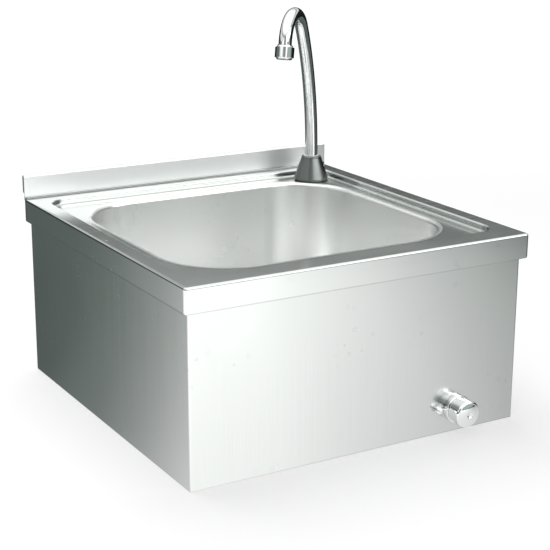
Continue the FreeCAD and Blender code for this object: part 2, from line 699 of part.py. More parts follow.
def make_casing():
    """Front and two sides in one folded sheet, with flanges all round its edges."""
    body = new_body("casing")
    height = "(overall_drop - recess_depth - top_sheet)"
    inner = f"({CASING_HALF} - casing_sheet)"
    past_rear = f"{REAR} + overrun"

    outline = sketch_on(body, "XY_Plane", "outline")
    draw_box(outline, f"-{CASING_HALF}", CASING_HALF, PANEL, REAR)
    pad(body, "block", outline, height, down=True)
    soften(body, "front_corners", "casing_bend",
           lambda box: near(box.YMin, PANEL) and near(box.YMax, PANEL) and box.ZLength > 1)

    core = sketch_on(body, "XY_Plane", "core", "-casing_sheet")
    draw_box(core, f"-{inner}", inner, f"{PANEL} + casing_sheet", f"{REAR} - casing_sheet")
    pocket(body, "room", core, f"{height} - 2 * casing_sheet")
    top = sketch_on(body, "XY_Plane", "top")
    draw_box(top, f"-({CASING_HALF} - side_flange)", f"{CASING_HALF} - side_flange",
             f"{PANEL} + front_flange", past_rear)
    pocket(body, "top_opening", top, "casing_sheet")
    bottom = sketch_on(body, "XY_Plane", "bottom", f"-{height} + casing_sheet")
    draw_box(bottom, f"-({CASING_HALF} - hem)", f"{CASING_HALF} - hem", f"{PANEL} + hem", past_rear)
    pocket(body, "bottom_opening", bottom, "casing_sheet")
    rear = sketch_on(body, "XY_Plane", "rear")
    draw_box(rear, f"-({CASING_HALF} - rear_flange)", f"{CASING_HALF} - rear_flange",
             f"{REAR} - 2 * casing_sheet", past_rear)
    pocket(body, "rear_opening", rear, height)

    stud_holes = sketch_on(body, "XY_Plane", "stud_holes")
    for x, y, z in STUDS:
        draw_circle(stud_holes, x, y, "stud_d + 2 * stud_play")
    pocket(body, "stud_cuts", stud_holes, "casing_sheet")
    screw_holes = sketch_on(body, "XZ_Plane", "screw_holes", f"-({REAR})")
    for x, y, z in RAIL_SCREWS:
        draw_circle(screw_holes, x, f"{z} - {CASING_TOP}", "rail_screw_d + 2 * stud_play")
    pocket(body, "screw_cuts", screw_holes, "casing_sheet", up=True)
    valve_hole = sketch_on(body, "XZ_Plane", "valve_hole", f"-({PANEL})")
    draw_circle(valve_hole, VALVE_X, f"{VALVE_Z} - {CASING_TOP}", "neck_d + 2 * panel_play")
    pocket(body, "valve_cut", valve_hole, "casing_sheet")
    place(body, z=CASING_TOP)
    return keep(body)


def make_hat(label, height, top, draw_holes, shelf):
    """Hat-section rail: the web lies on the wall, the end feet lie on the rear flanges."""
    body = new_body(label)
    tip = f"({CASING_HALF} - casing_sheet - foot_play)"
    knee = f"({tip} - foot_width)"
    outline = sketch_on(body, "XY_Plane", "outline")
    draw(outline, (
        (f"-{tip}", REAR), (f"-{knee} + rail_sheet", REAR),
        (f"-{knee} + rail_sheet", "-rail_sheet"), (f"{knee} - rail_sheet", "-rail_sheet"),
        (f"{knee} - rail_sheet", REAR), (tip, REAR),
        (tip, f"{REAR} + rail_sheet"), (knee, f"{REAR} + rail_sheet"), (knee, "0"),
        (f"-{knee}", "0"), (f"-{knee}", f"{REAR} + rail_sheet"), (f"-{tip}", f"{REAR} + rail_sheet"),
    ))
    pad(body, "hat", outline, height, down=True)
    if shelf:
        plate = sketch_on(body, "XY_Plane", "shelf_outline")
        draw_box(plate, f"-({knee} - rail_sheet)", f"{knee} - rail_sheet", f"-{shelf}", "-rail_sheet / 2")
        pad(body, "shelf", plate, "rail_sheet", down=True)
    holes = sketch_on(body, "XZ_Plane", "fixing_holes")
    draw_holes(holes)
    pocket(body, "fixing_cuts", holes, "rail_sheet", up=True)
    feet = sketch_on(body, "XZ_Plane", "foot_holes", f"-({REAR})")
    for x, y, z in RAIL_SCREWS:
        if size_of(f"{top} - {height}") < size_of(z) < size_of(top):
            draw_circle(feet, x, f"{z} - ({top})", "rail_screw_d + 2 * stud_play")
    pocket(body, "foot_cuts", feet, "rail_sheet")
    place(body, z=top)
    return keep(body)


def rail_slots(sketch):
    """Level slots, so that the sink can be centred after the wall is drilled."""
    half = "(fixing_slot_l / 2)"
    radius = "(fixing_slot_w / 2)"
    for side in ("-", ""):
        middle = f"{side}fixing_spacing / 2"
        level = f"-({WORKTOP} - top_sheet)"
        draw(sketch, (
            (f"{middle} + {half} - {radius}", f"{level} - {radius}"),
            (f"{middle} + {half}", level, radius),
            (f"{middle} + {half} - {radius}", f"{level} + {radius}", radius),
            (f"{middle} - {half} + {radius}", f"{level} + {radius}"),
            (f"{middle} - {half}", level, radius),
            (f"{middle} - {half} + {radius}", f"{level} - {radius}", radius),
        ))


def brace_holes(sketch):
    for side in ("-", ""):
        draw_circle(sketch, f"{side}fixing_spacing / 2", "-brace_height / 2", "brace_hole_d")


def hex_nut(name, across_flats, bore, thickness):
    """A nut standing on the XY plane, as a pattern for groups and single nuts."""
    body = new_body(name)
    sketch = sketch_on(body, "XY_Plane", "outline")
    draw_hexagon(sketch, across_flats)
    draw_circle(sketch, "0", "0", bore)
    pad(body, "prism", sketch, thickness)
    return body


def make_fasteners():
    """Weld studs with washers and nuts under the recess, screws and nuts at the rear."""
    stud = new_body("stud_pattern")
    turn(stud, "turning", (
        ("0", "-stud_length"), ("stud_d / 2 - 0.1 * stud_d", "-stud_length"),
        ("stud_d / 2", "-stud_length + 0.1 * stud_d"), ("stud_d / 2", "0"), ("0", "0")))
    grouped("weld_studs", stud, STUDS)

    ring = new_body("ring_pattern")
    turn(ring, "turning", (
        ("stud_d / 2 + stud_play", "-casing_sheet - 0.2 * stud_d"), ("stud_d", "-casing_sheet - 0.2 * stud_d"),
        ("stud_d", "-casing_sheet"), ("stud_d / 2 + stud_play", "-casing_sheet")))
    grouped("stud_washers", ring, STUDS)

    nut = hex_nut("nut_pattern", "1.6 * stud_d", "stud_d", "0.8 * stud_d")
    under_washer = f"{CASING_TOP} - casing_sheet - stud_d"
    grouped("stud_nuts", nut, [(x, y, under_washer) for x, y, z in STUDS])

    screw = new_body("screw_pattern")
    turn(screw, "turning", (
        ("0", "-rail_sheet"), ("0", "-rail_sheet - 0.55 * rail_screw_d"),
        ("0.6 * rail_screw_d", "-rail_sheet - 0.5 * rail_screw_d"),
        ("0.9 * rail_screw_d", "-rail_sheet - 0.25 * rail_screw_d"),
        ("0.9 * rail_screw_d", "-rail_sheet"), ("rail_screw_d / 2", "-rail_sheet"),
        ("rail_screw_d / 2", "casing_sheet + 1.1 * rail_screw_d"),
        ("0", "casing_sheet + 1.1 * rail_screw_d")))
    screw.Placement = Placement(Vector(), Rotation(Vector(1, 0, 0), 90))
    doc.recompute()
    grouped("rail_screws", screw, RAIL_SCREWS)

    rail_nut = hex_nut("rail_nut_pattern", "1.6 * rail_screw_d", "rail_screw_d", "0.8 * rail_screw_d")
    rail_nut.Placement = Placement(Vector(0, -size_of("casing_sheet"), 0), Rotation(Vector(1, 0, 0), 90))
    doc.recompute()
    grouped("rail_nuts", rail_nut, RAIL_SCREWS)


# ---------------------------------------------------------------------------------------
# Waste
# ---------------------------------------------------------------------------------------

def make_waste():
    """Grid strainer above the sump, flanged body below it, drawn together by one screw."""
    here = {"x": "0", "y": BOWL_Y, "z": SUMP}
    washer("strainer_gasket", "sump_hole_d", "strainer_d - 6", "0", "strainer_gasket", **here)

    strainer = new_body("strainer")
    cup = "strainer_cup_d / 2"
    grid = "-strainer_cup_depth"
    turn(strainer, "dish", (
        ("0", grid), (f"{cup} - 3", grid), (cup, f"{grid} + 3", "3"),
        (cup, "strainer_gasket"), ("strainer_d / 2", "strainer_gasket"),
        ("strainer_d / 2", "strainer_gasket + strainer_sheet"),
        (f"{cup} + 1", "strainer_gasket + strainer_sheet"),
        (f"{cup} - strainer_sheet", "strainer_gasket + strainer_sheet - 1.6"),
        (f"{cup} - strainer_sheet", f"{grid} + 3"),
        (f"{cup} - 3", f"{grid} + strainer_sheet"), ("0", f"{grid} + strainer_sheet"),
    ))
    for name, ring, count in (("inner", "strainer_ring_a", 6), ("outer", "strainer_ring_b", 12)):
        sketch = sketch_on(strainer, "XY_Plane", f"{name}_hole", f"{grid} + strainer_sheet")
        draw_circle(sketch, ring, "0", "strainer_hole_d")
        cut = pocket(strainer, f"{name}_cut", sketch, "strainer_sheet")
        round_about(strainer, f"{name}_ring", cut, count)
    screw_hole = sketch_on(strainer, "XY_Plane", "screw_hole", f"{grid} + strainer_sheet")
    draw_circle(screw_hole, "0", "0", "waste_screw_d")
    pocket(strainer, "screw_cut", screw_hole, "strainer_sheet")
    place(strainer, **here)
    keep(strainer)

    seat = f"({grid} + strainer_sheet)"
    turned("strainer_screw", (
        ("0", f"{seat} - waste_screw_l"), ("waste_screw_d / 2", f"{seat} - waste_screw_l"),
        ("waste_screw_d / 2", seat), ("waste_screw_d", seat),
        ("waste_screw_d", f"{seat} + 0.15 * waste_screw_d"),
        ("0.4 * waste_screw_d", f"{seat} + 0.5 * waste_screw_d", "waste_screw_d"),
        ("0", f"{seat} + 0.5 * waste_screw_d"),
    ), **here)
    washer("waste_gasket", "sump_hole_d", "waste_flange_d - 2", "-bowl_sheet - waste_gasket",
           "-bowl_sheet", **here)

    waste = new_body("waste_body")
    top = "(-bowl_sheet - waste_gasket)"
    foot = f"({top} - waste_length)"
    throat = f"({top} - waste_length + waste_thread_l + 8)"
    turn(waste, "turning", (
        ("waste_bore_d / 2", foot), ("waste_thread_d / 2", foot),
        ("waste_thread_d / 2", f"{foot} + waste_thread_l"),
        ("waste_thread_d / 2 + 3", f"{throat}"),
        ("waste_thread_d / 2 + 3", f"{top} - waste_flange_t - 2"),
        ("waste_flange_d / 2", f"{top} - waste_flange_t"), ("waste_flange_d / 2", top),
        ("sump_hole_d / 2", top), ("sump_hole_d / 2", f"{throat} + 4"), ("waste_bore_d / 2", throat),
    ))
    spider = sketch_on(waste, "XY_Plane", "spider", f"{throat} - 12")
    arm = "(waste_screw_d * 0.35)"
    reach = "(waste_bore_d / 2 + 1)"
    draw(spider, (
        (arm, f"-{reach}"), (arm, f"-{arm}"), (reach, f"-{arm}"), (reach, arm), (arm, arm),
        (arm, reach), (f"-{arm}", reach), (f"-{arm}", arm), (f"-{reach}", arm),
        (f"-{reach}", f"-{arm}"), (f"-{arm}", f"-{arm}"), (f"-{arm}", f"-{reach}"),
    ))
    pad(waste, "arms", spider, "8")
    boss = sketch_on(waste, "XY_Plane", "boss", f"{throat} - 12")
    draw_circle(boss, "0", "0", "2 * waste_screw_d")
    pad(waste, "boss_pad", boss, "10")
    bore = sketch_on(waste, "XY_Plane", "boss_bore", f"{throat} - 2")
    draw_circle(bore, "0", "0", "waste_screw_d")
    pocket(waste, "boss_cut", bore, "10")
    place(waste, **here)
    keep(waste)


# ---------------------------------------------------------------------------------------
# Tap: fixed stack
# ---------------------------------------------------------------------------------------

TAP = {"x": TAP_X, "y": TAP_Y, "z": RECESS}
SPOUT_BORE = "(spout_d + 2 * running_play)"


def make_tap_base():
    washer("tap_gasket", "tap_hole_d", "cone_foot_d - 1", "0", "tap_gasket", **TAP)

    shoulder = "(cone_top_d / 2)"
    turned("tap_cone", (
        ("cone_foot_d / 2 - cone_wall", "tap_gasket"), ("cone_foot_d / 2", "tap_gasket"),
        ("cone_foot_d / 2", "tap_gasket + cone_wall"),
        (shoulder, "cone_height - cone_shoulder"),
        (f"{shoulder} - cone_shoulder + 0.2", "cone_height", "cone_shoulder"),
        ("bush_d / 2", "cone_height"), ("bush_d / 2", "cone_height - bush_length"),
        (f"{shoulder} - 0.6 * cone_wall", "cone_height - bush_length"),
        ("cone_foot_d / 2 - cone_wall", "tap_gasket + cone_wall"),
    ), **TAP)

    neck = "tap_gasket + shank_collar_t"
    turned("tap_shank", (
        ("riser_d / 2 + riser_play", "-shank_down - shank_tail_l"),
        ("shank_tail_d / 2", "-shank_down - shank_tail_l"), ("shank_tail_d / 2", "-shank_down"),
        ("shank_d / 2", "-shank_down"), ("shank_d / 2", "tap_gasket"),
        ("shank_collar_d / 2", "tap_gasket"), ("shank_collar_d / 2", neck),
        ("shank_d / 2", neck), ("shank_d / 2", "shank_up"),
        (f"{SPOUT_BORE} / 2", "shank_up"), (f"{SPOUT_BORE} / 2", "spigot_foot - 1"),
        ("shank_bore_d / 2", "spigot_foot - 1"),
        ("shank_bore_d / 2", "-shank_down - shank_tail_l + riser_entry + 2"),
        ("riser_d / 2 + riser_play", "-shank_down - shank_tail_l + riser_entry + 2"),
    ), **TAP)

    washer("spout_bush", SPOUT_BORE, "bush_d", "cone_height - bush_length", "cone_height", **TAP)
    washer("tap_rubber_washer", "tap_hole_d", "tap_hole_d + 12", "-top_sheet - rubber_t",
           "-top_sheet", **TAP)
    washer("tap_steel_washer", "tap_hole_d", "tap_hole_d + 11",
           "-top_sheet - rubber_t - steel_t", "-top_sheet - rubber_t", **TAP)
    nut = hex_nut("tap_backnut", "backnut_af", "shank_d", "backnut_t")
    place(nut, TAP_X, TAP_Y, f"{RECESS} - top_sheet - rubber_t - steel_t - backnut_t")
    keep(nut)


# ---------------------------------------------------------------------------------------
# Tap: swivel spout
# ---------------------------------------------------------------------------------------

# The spout bends in one upright plane. Its line is a straight foot, a long rising bend, a
# tight crook and a short straight tail; these are the ends of its stretches in that plane.
RISE_END_X = "(spout_rise_r * (1 - cos(spout_lean * 1 deg)))"
RISE_END_Z = "(cone_height + spout_rise_r * sin(spout_lean * 1 deg))"
CROOK_END_X = f"({RISE_END_X} + spout_crook_r * (cos(spout_lean * 1 deg) - cos(spout_outlet * 1 deg)))"
CROOK_END_Z = f"({RISE_END_Z} + spout_crook_r * (sin(spout_outlet * 1 deg) - sin(spout_lean * 1 deg)))"
TAIL_END_X = f"({CROOK_END_X} + spout_tail * sin(spout_outlet * 1 deg))"
TAIL_END_Z = f"({CROOK_END_Z} + spout_tail * cos(spout_outlet * 1 deg))"


def make_spout():
    tube = new_body("spout_tube")
    path = sketch_on(tube, "XZ_Plane", "path")
    draw(path, (
        ("0", "spout_foot"), ("0", "cone_height"),
        (RISE_END_X, RISE_END_Z, "-spout_rise_r"),
        (CROOK_END_X, CROOK_END_Z, "-spout_crook_r"),
        (TAIL_END_X, TAIL_END_Z),
    ), closed=False)
    section = sketch_on(tube, "XY_Plane", "section", "spout_foot")
    draw_circle(section, "0", "0", "spout_d")
    draw_circle(section, "0", "0", "spout_d - 2 * spout_wall")
    doc.recompute()
    pipe = feature(tube, "AdditivePipe", "pipe", section)
    pipe.Spine = (path, [f"Edge{number}" for number in range(1, 5)])
    doc.recompute()
    tube.Placement = Placement(Vector(), Rotation(size_of("spout_heading"), 0, 0))
    for letter, text in zip("xyz", (TAP["x"], TAP["y"], TAP["z"])):
        tube.setExpression(f"Placement.Base.{letter}", bound(text))
    tube.setExpression("Placement.Rotation.Angle", bound("spout_heading * 1 deg"))
    keep(tube)

    groove = "(spout_d / 2 - o_ring_d)"
    first = "(spigot_foot + 1.8)"
    second = "(spigot_foot + 5.4)"
    width = "(o_ring_d + 0.4)"
    turned("spout_spigot", (
        ("spout_d / 2 - 2.6", "spigot_foot"), ("spout_d / 2", "spigot_foot"),
        ("spout_d / 2", first), (groove, first), (groove, f"{first} + {width}"),
        ("spout_d / 2", f"{first} + {width}"), ("spout_d / 2", second), (groove, second),
        (groove, f"{second} + {width}"), ("spout_d / 2", f"{second} + {width}"),
        ("spout_d / 2", "spout_foot"), ("spout_d / 2 - spout_wall", "spout_foot"),
        ("spout_d / 2 - spout_wall", "spout_foot + 7"), ("spout_d / 2 - 2.6", "spout_foot + 7"),
    ), **TAP)

    rings = []
    for low in (first, second):
        ring = Part.makeTorus(size_of(f"{groove} + o_ring_d / 2"), size_of("o_ring_d / 2"))
        ring.translate(Vector(size_of(TAP["x"]), size_of(TAP["y"]),
                              size_of(f"{RECESS} + {low} + {width} / 2")))
        rings.append(ring)
    group = doc.addObject("Part::Feature", "spout_o_rings")
    group.Label = "spout_o_rings"
    group.Shape = Part.makeCompound(rings)
    keep(group)

    clip_low = "(shank_up + ring_gap)"
    washer("spout_clip", "spout_d", "spout_d + 2.6", clip_low, f"{clip_low} + clip_t", **TAP)


def place_outlet(body):
    """Put a turned piece on the spout's end, its local +Z along the water."""
    heading = size_of("spout_heading")
    arm = Rotation(heading, 0, 0).multVec(Vector(size_of(TAIL_END_X), 0, 0))
    foot = Vector(size_of(TAP["x"]), size_of(TAP["y"]), size_of(f"{RECESS} + {TAIL_END_Z}"))
    body.Placement = Placement(foot + arm, Rotation(heading, size_of("spout_outlet"), 0))


def make_aerator():
    collar = new_body("outlet_collar")
    turn(collar, "turning", (
        ("spout_d / 2 - 2.5", "0"), ("spout_d / 2 - spout_wall", "0"),
        ("spout_d / 2 - spout_wall", "-4"), ("spout_d / 2 - 2.5", "-4"),
    ))
    turn(collar, "thread", (
        ("spout_d / 2 - 2.5", "0"), ("outlet_collar_d / 2", "0"),
        ("outlet_collar_d / 2", "outlet_collar_l"), ("spout_d / 2 - 2.5", "outlet_collar_l"),
    ))

    housing = new_body("aerator_housing")
    outer = "(aerator_d / 2)"
    soft = "aerator_round"
    start = "aerator_gap"
    end = "(aerator_gap + aerator_length)"
    turn(housing, "turning", (
        ("outlet_collar_d / 2", start), ("outlet_collar_d / 2", "outlet_collar_l"),
        ("aerator_bore_d / 2", "outlet_collar_l"), ("aerator_bore_d / 2", f"{end} - 1.2"),
        ("aerator_bore_d / 2 - 1", f"{end} - 1.2"), ("aerator_bore_d / 2 - 1", end),
        (f"{outer} - {soft}", end), (outer, f"{end} - {soft}", soft),
        (outer, f"{start} + {soft}"), (f"{outer} - {soft}", start, soft),
    ))

    seal = new_body("aerator_washer")
    turn(seal, "turning", (
        ("aerator_bore_d / 2 - 3", "outlet_collar_l"), ("aerator_bore_d / 2", "outlet_collar_l"),
        ("aerator_bore_d / 2", "outlet_collar_l + 1.5"), ("aerator_bore_d / 2 - 3", "outlet_collar_l + 1.5"),
    ))

    insert = new_body("aerator_insert")
    turn(insert, "turning", (
        ("0", "outlet_collar_l + 1.5"), ("aerator_bore_d / 2", "outlet_collar_l + 1.5"),
        ("aerator_bore_d / 2", f"{end} - 1.2"), ("0", f"{end} - 1.2"),
    ))
    for name, ring, count in (("inner", "aerator_bore_d * 0.15", 6), ("outer", "aerator_bore_d * 0.31", 10)):
        sketch = sketch_on(insert, "XY_Plane", f"{name}_hole", f"{end} - 1.2")
        draw_circle(sketch, ring, "0", "aerator_bore_d * 0.12")
        cut = pocket(insert, f"{name}_cut", sketch, "aerator_length")
        round_about(insert, f"{name}_ring", cut, count)
    for body in (collar, housing, seal, insert):
        place_outlet(body)
        keep(body)


# ---------------------------------------------------------------------------------------
# Push valve: fixed pieces. Its local +Z runs from the panel's outer face into the casing.
# ---------------------------------------------------------------------------------------

VALVE = {"x": VALVE_X, "y": PANEL, "z": VALVE_Z, "turn_to": "back"}
SHOULDER = "(casing_sheet + panel_washer)"
BARREL_END = f"({SHOULDER} + valve_flange_t + barrel_length)"
PORT_AT = f"({SHOULDER} + valve_flange_t + port_back)"
CHAMBER_FRONT = f"({SHOULDER} + valve_flange_t)"
CHAMBER_END = f"({BARREL_END} - 4)"
RING_FRONT = "(-ring_gap - ring_t)"
SLEEVE_BACK = "(-2 * ring_gap - ring_t)"
SLEEVE_FRONT = f"({SLEEVE_BACK} - sleeve_length)"
CROWN_INSIDE = f"({SLEEVE_FRONT} - ring_gap - cap_travel)"


def make_valve_body():
    body = new_body("valve_body")
    turn(body, "outside", (
        ("0", "-neck_out"), ("neck_d / 2", "-neck_out"), ("neck_d / 2", SHOULDER),
        ("valve_flange_d / 2", SHOULDER), ("valve_flange_d / 2", f"{SHOULDER} + valve_flange_t"),
        ("barrel_d / 2", f"{SHOULDER} + valve_flange_t"), ("barrel_d / 2", f"{BARREL_END} - 2"),
        ("barrel_d / 2 - 2", BARREL_END), ("outlet_d / 2", BARREL_END),
        ("outlet_d / 2", f"{BARREL_END} + outlet_l"), ("0", f"{BARREL_END} + outlet_l"),
    ))
    boss = sketch_on(body, "YZ_Plane", "port_outline", "-port_out")
    draw_circle(boss, "0", PORT_AT, "port_d")
    pad(body, "ports", boss, "2 * port_out")
    turn(body, "inside", (
        ("0", "-neck_out"), ("stem_d / 2 + running_play", "-neck_out"),
        ("stem_d / 2 + running_play", CHAMBER_FRONT), ("chamber_d / 2", CHAMBER_FRONT),
        ("chamber_d / 2", CHAMBER_END), ("water_way_d / 2", CHAMBER_END),
        ("water_way_d / 2", f"{BARREL_END} + outlet_l - riser_entry"),
        ("riser_d / 2 + riser_play", f"{BARREL_END} + outlet_l - riser_entry"),
        ("riser_d / 2 + riser_play", f"{BARREL_END} + outlet_l"), ("0", f"{BARREL_END} + outlet_l"),
    ), cut=True)
    bore = sketch_on(body, "YZ_Plane", "port_bore", "port_out")
    draw_circle(bore, "0", PORT_AT, "inlet_bore_d")
    pocket(body, "port_cut", bore, "2 * port_out")
    place(body, VALVE_X, PANEL, VALVE_Z, "back")
    keep(body)

    washer("panel_washer", "neck_d", "valve_flange_d - 1", "casing_sheet", SHOULDER, **VALVE)
    washer("clamp_nut", "neck_d", "clamp_d", "-clamp_t", "0", **VALVE)
    turned("valve_sleeve", (
        ("neck_d / 2", SLEEVE_BACK), ("neck_d / 2", "-neck_out"),
        ("stem_d / 2 + 1", "-neck_out"), ("stem_d / 2 + 1", SLEEVE_FRONT),
        ("sleeve_d / 2 - 0.8", SLEEVE_FRONT), ("sleeve_d / 2", f"{SLEEVE_FRONT} + 0.8"),
        ("sleeve_d / 2", SLEEVE_BACK),
    ), **VALVE)


def make_inlets():
    """Hot on the left and cold on the right: a hexagon and a male thread on each port."""
    for label, side, turn_to in (("hot_inlet", -1, "left"), ("cold_inlet", 1, "right")):
        body = new_body(label)
        hexagon = sketch_on(body, "XY_Plane", "hexagon")
        draw_hexagon(hexagon, "inlet_af")
        pad(body, "grip", hexagon, "inlet_hex_t")
        thread = sketch_on(body, "XY_Plane", "thread_outline", "inlet_hex_t")
        draw_circle(thread, "0", "0", "inlet_d")
        pad(body, "thread", thread, "inlet_l")
        bore = sketch_on(body, "XY_Plane", "bore", "inlet_hex_t + inlet_l")
        draw_circle(bore, "0", "0", "inlet_bore_d")
        pocket(body, "bore_cut", bore, "inlet_hex_t + inlet_l")
        place(body, f"{VALVE_X} + {side} * port_out", f"{PANEL} + {PORT_AT}", VALVE_Z, turn_to)
        keep(body)
    screens = []
    for side in (-1, 1):
        middle = f"{VALVE_X} + {side} * (port_out + inlet_hex_t)"
        screens.append((middle, f"{PANEL} + {PORT_AT}", VALVE_Z))
    disc = new_body("screen_pattern")
    turn(disc, "turning", (
        ("0", "-screen_t / 2"), ("inlet_bore_d / 2", "-screen_t / 2"),
        ("inlet_bore_d / 2", "screen_t / 2"), ("0", "screen_t / 2")))
    disc.Placement = Placement(Vector(), Rotation(0, 90, 0))
    doc.recompute()
    grouped("inlet_screens", disc, screens)


def make_riser():
    """Tube from the valve's outlet, under the bowl, up to the tap's shank."""
    x_valve, x_tap = size_of(VALVE_X), size_of(TAP_X)
    y_start = size_of(f"{PANEL} + {BARREL_END} + outlet_l - riser_entry")
    y_tap, level = size_of(TAP_Y), size_of(VALVE_Z)
    z_end = size_of(f"{RECESS} - shank_down - shank_tail_l + riser_entry")
    bend = size_of("riser_bend")
    start = Vector(x_valve, y_start, level)
    rear = Vector(x_valve, y_tap, level)
    corner = Vector(x_tap, y_tap, level)
    end = Vector(x_tap, y_tap, z_end)
    to_back, to_right, to_top = Vector(0, 1, 0), Vector(1, 0, 0), Vector(0, 0, 1)

    def quarter(spot, coming, leaving):
        first = spot - coming * bend
        last = spot + leaving * bend
        middle = spot + (leaving - coming) * bend - (leaving - coming) * (bend / 2 ** 0.5)
        return Part.Arc(first, middle, last).toShape(), first, last

    bend_a, a_in, a_out = quarter(rear, to_back, to_right)
    bend_b, b_in, b_out = quarter(corner, to_right, to_top)
    line = Part.Wire([Part.LineSegment(start, a_in).toShape(), bend_a,
                      Part.LineSegment(a_out, b_in).toShape(), bend_b,
                      Part.LineSegment(b_out, end).toShape()])
    outer = size_of("riser_d") / 2
    inner = outer - size_of("riser_wall")
    solids = []
    for radius in (outer, inner):
        ring = Part.Wire([Part.makeCircle(radius, start, to_back)])
        solids.append(line.makePipeShell([ring], True, True))
    tube = doc.addObject("Part::Feature", "riser_tube")
    tube.Label = "riser_tube"
    tube.Shape = solids[0].cut(solids[1])
    keep(tube)

    for label, x, y, z, turn_to in (
            ("riser_nut_valve", VALVE_X, f"{PANEL} + {BARREL_END} + outlet_l", VALVE_Z, "back"),
            ("riser_nut_tap", TAP_X, TAP_Y, f"{RECESS} - shank_down - shank_tail_l", "down")):
        nut = new_body(label)
        hexagon = sketch_on(nut, "XY_Plane", "outline", "3 - riser_nut_t")
        draw_hexagon(hexagon, "riser_nut_af")
        pad(nut, "prism", hexagon, "riser_nut_t")
        turn(nut, "thread", (
            ("0", "3 - riser_nut_t"), ("outlet_d / 2", "3 - riser_nut_t"), ("outlet_d / 2", "0"),
            ("riser_d / 2 + riser_play", "1"), ("riser_d / 2 + riser_play", "3"), ("0", "3"),
        ), cut=True)
        place(nut, x, y, z, "back" if turn_to == "back" else "up")
        if turn_to == "down":
            nut.Placement = Placement(nut.Placement.Base, Rotation(Vector(1, 0, 0), 180))
        keep(nut)


# ---------------------------------------------------------------------------------------
# Push valve: button, spring, temperature lever
# ---------------------------------------------------------------------------------------

def make_button():
    """The face is a shallow dome with a round dent in its middle and a rounded edge."""
    face = f"({CROWN_INSIDE} - cap_crown)"
    rim = f"({face} + cap_bulge + cap_edge)"
    skirt_back = f"({rim} + cap_skirt)"
    bore = "(sleeve_d / 2 + running_play)"
    dome_edge = "(cap_d / 2 - cap_edge)"
    dent_r = "(((dimple_d / 2) ^ 2 + dimple_depth ^ 2) / (2 * dimple_depth))"
    dome_r = f"(({dome_edge} ^ 2 - (dimple_d / 2) ^ 2) / (2 * cap_bulge))"
    turned("button_cap", (
        ("0", f"{face} + dimple_depth"), ("dimple_d / 2", face, f"-{dent_r}"),
        (dome_edge, f"{face} + cap_bulge", dome_r), ("cap_d / 2", rim, "cap_edge"),
        ("cap_d / 2", skirt_back), (bore, skirt_back), (bore, f"{CROWN_INSIDE} + 1"),
        (f"{bore} - 1", CROWN_INSIDE), ("0", CROWN_INSIDE),
    ), **VALVE)

    piston_end = "(piston_at + piston_t)"
    turned("button_stem", (
        ("0", CROWN_INSIDE), ("stem_d / 2", CROWN_INSIDE), ("stem_d / 2", "piston_at"),
        ("chamber_d / 2 - piston_play", "piston_at"), ("chamber_d / 2 - piston_play", piston_end),
        ("stem_d / 2", piston_end), ("stem_d / 2", f"{piston_end} + seal_t + 2"),
        ("0", f"{piston_end} + seal_t + 2"),
    ), **VALVE)
    washer("piston_seal", "stem_d", "chamber_d - 2 * seal_play", piston_end,
           f"{piston_end} + seal_t", **VALVE)

    foot = size_of(f"{piston_end} + seal_t")
    wire = size_of("spring_wire_d")
    gap = size_of("ring_gap")
    length = size_of(CHAMBER_END) - foot - wire - 2 * gap
    turns = size_of("spring_turns")
    radius = size_of("spring_mean_d") / 2
    helix = Part.makeHelix(length / turns, length, radius)
    section = Part.Wire([Part.makeCircle(wire / 2, Vector(radius, 0, 0), Vector(0, 1, 0))])
    coil = Part.Wire(helix).makePipeShell([section], True, True)
    spring = doc.addObject("Part::Feature", "return_spring")
    spring.Label = "return_spring"
    spring.Shape = coil
    spring.Placement = Placement(
        Vector(size_of(VALVE_X), size_of(PANEL) + foot + gap + wire / 2, size_of(VALVE_Z)),
        Rotation(Vector(1, 0, 0), -90))
    keep(spring)


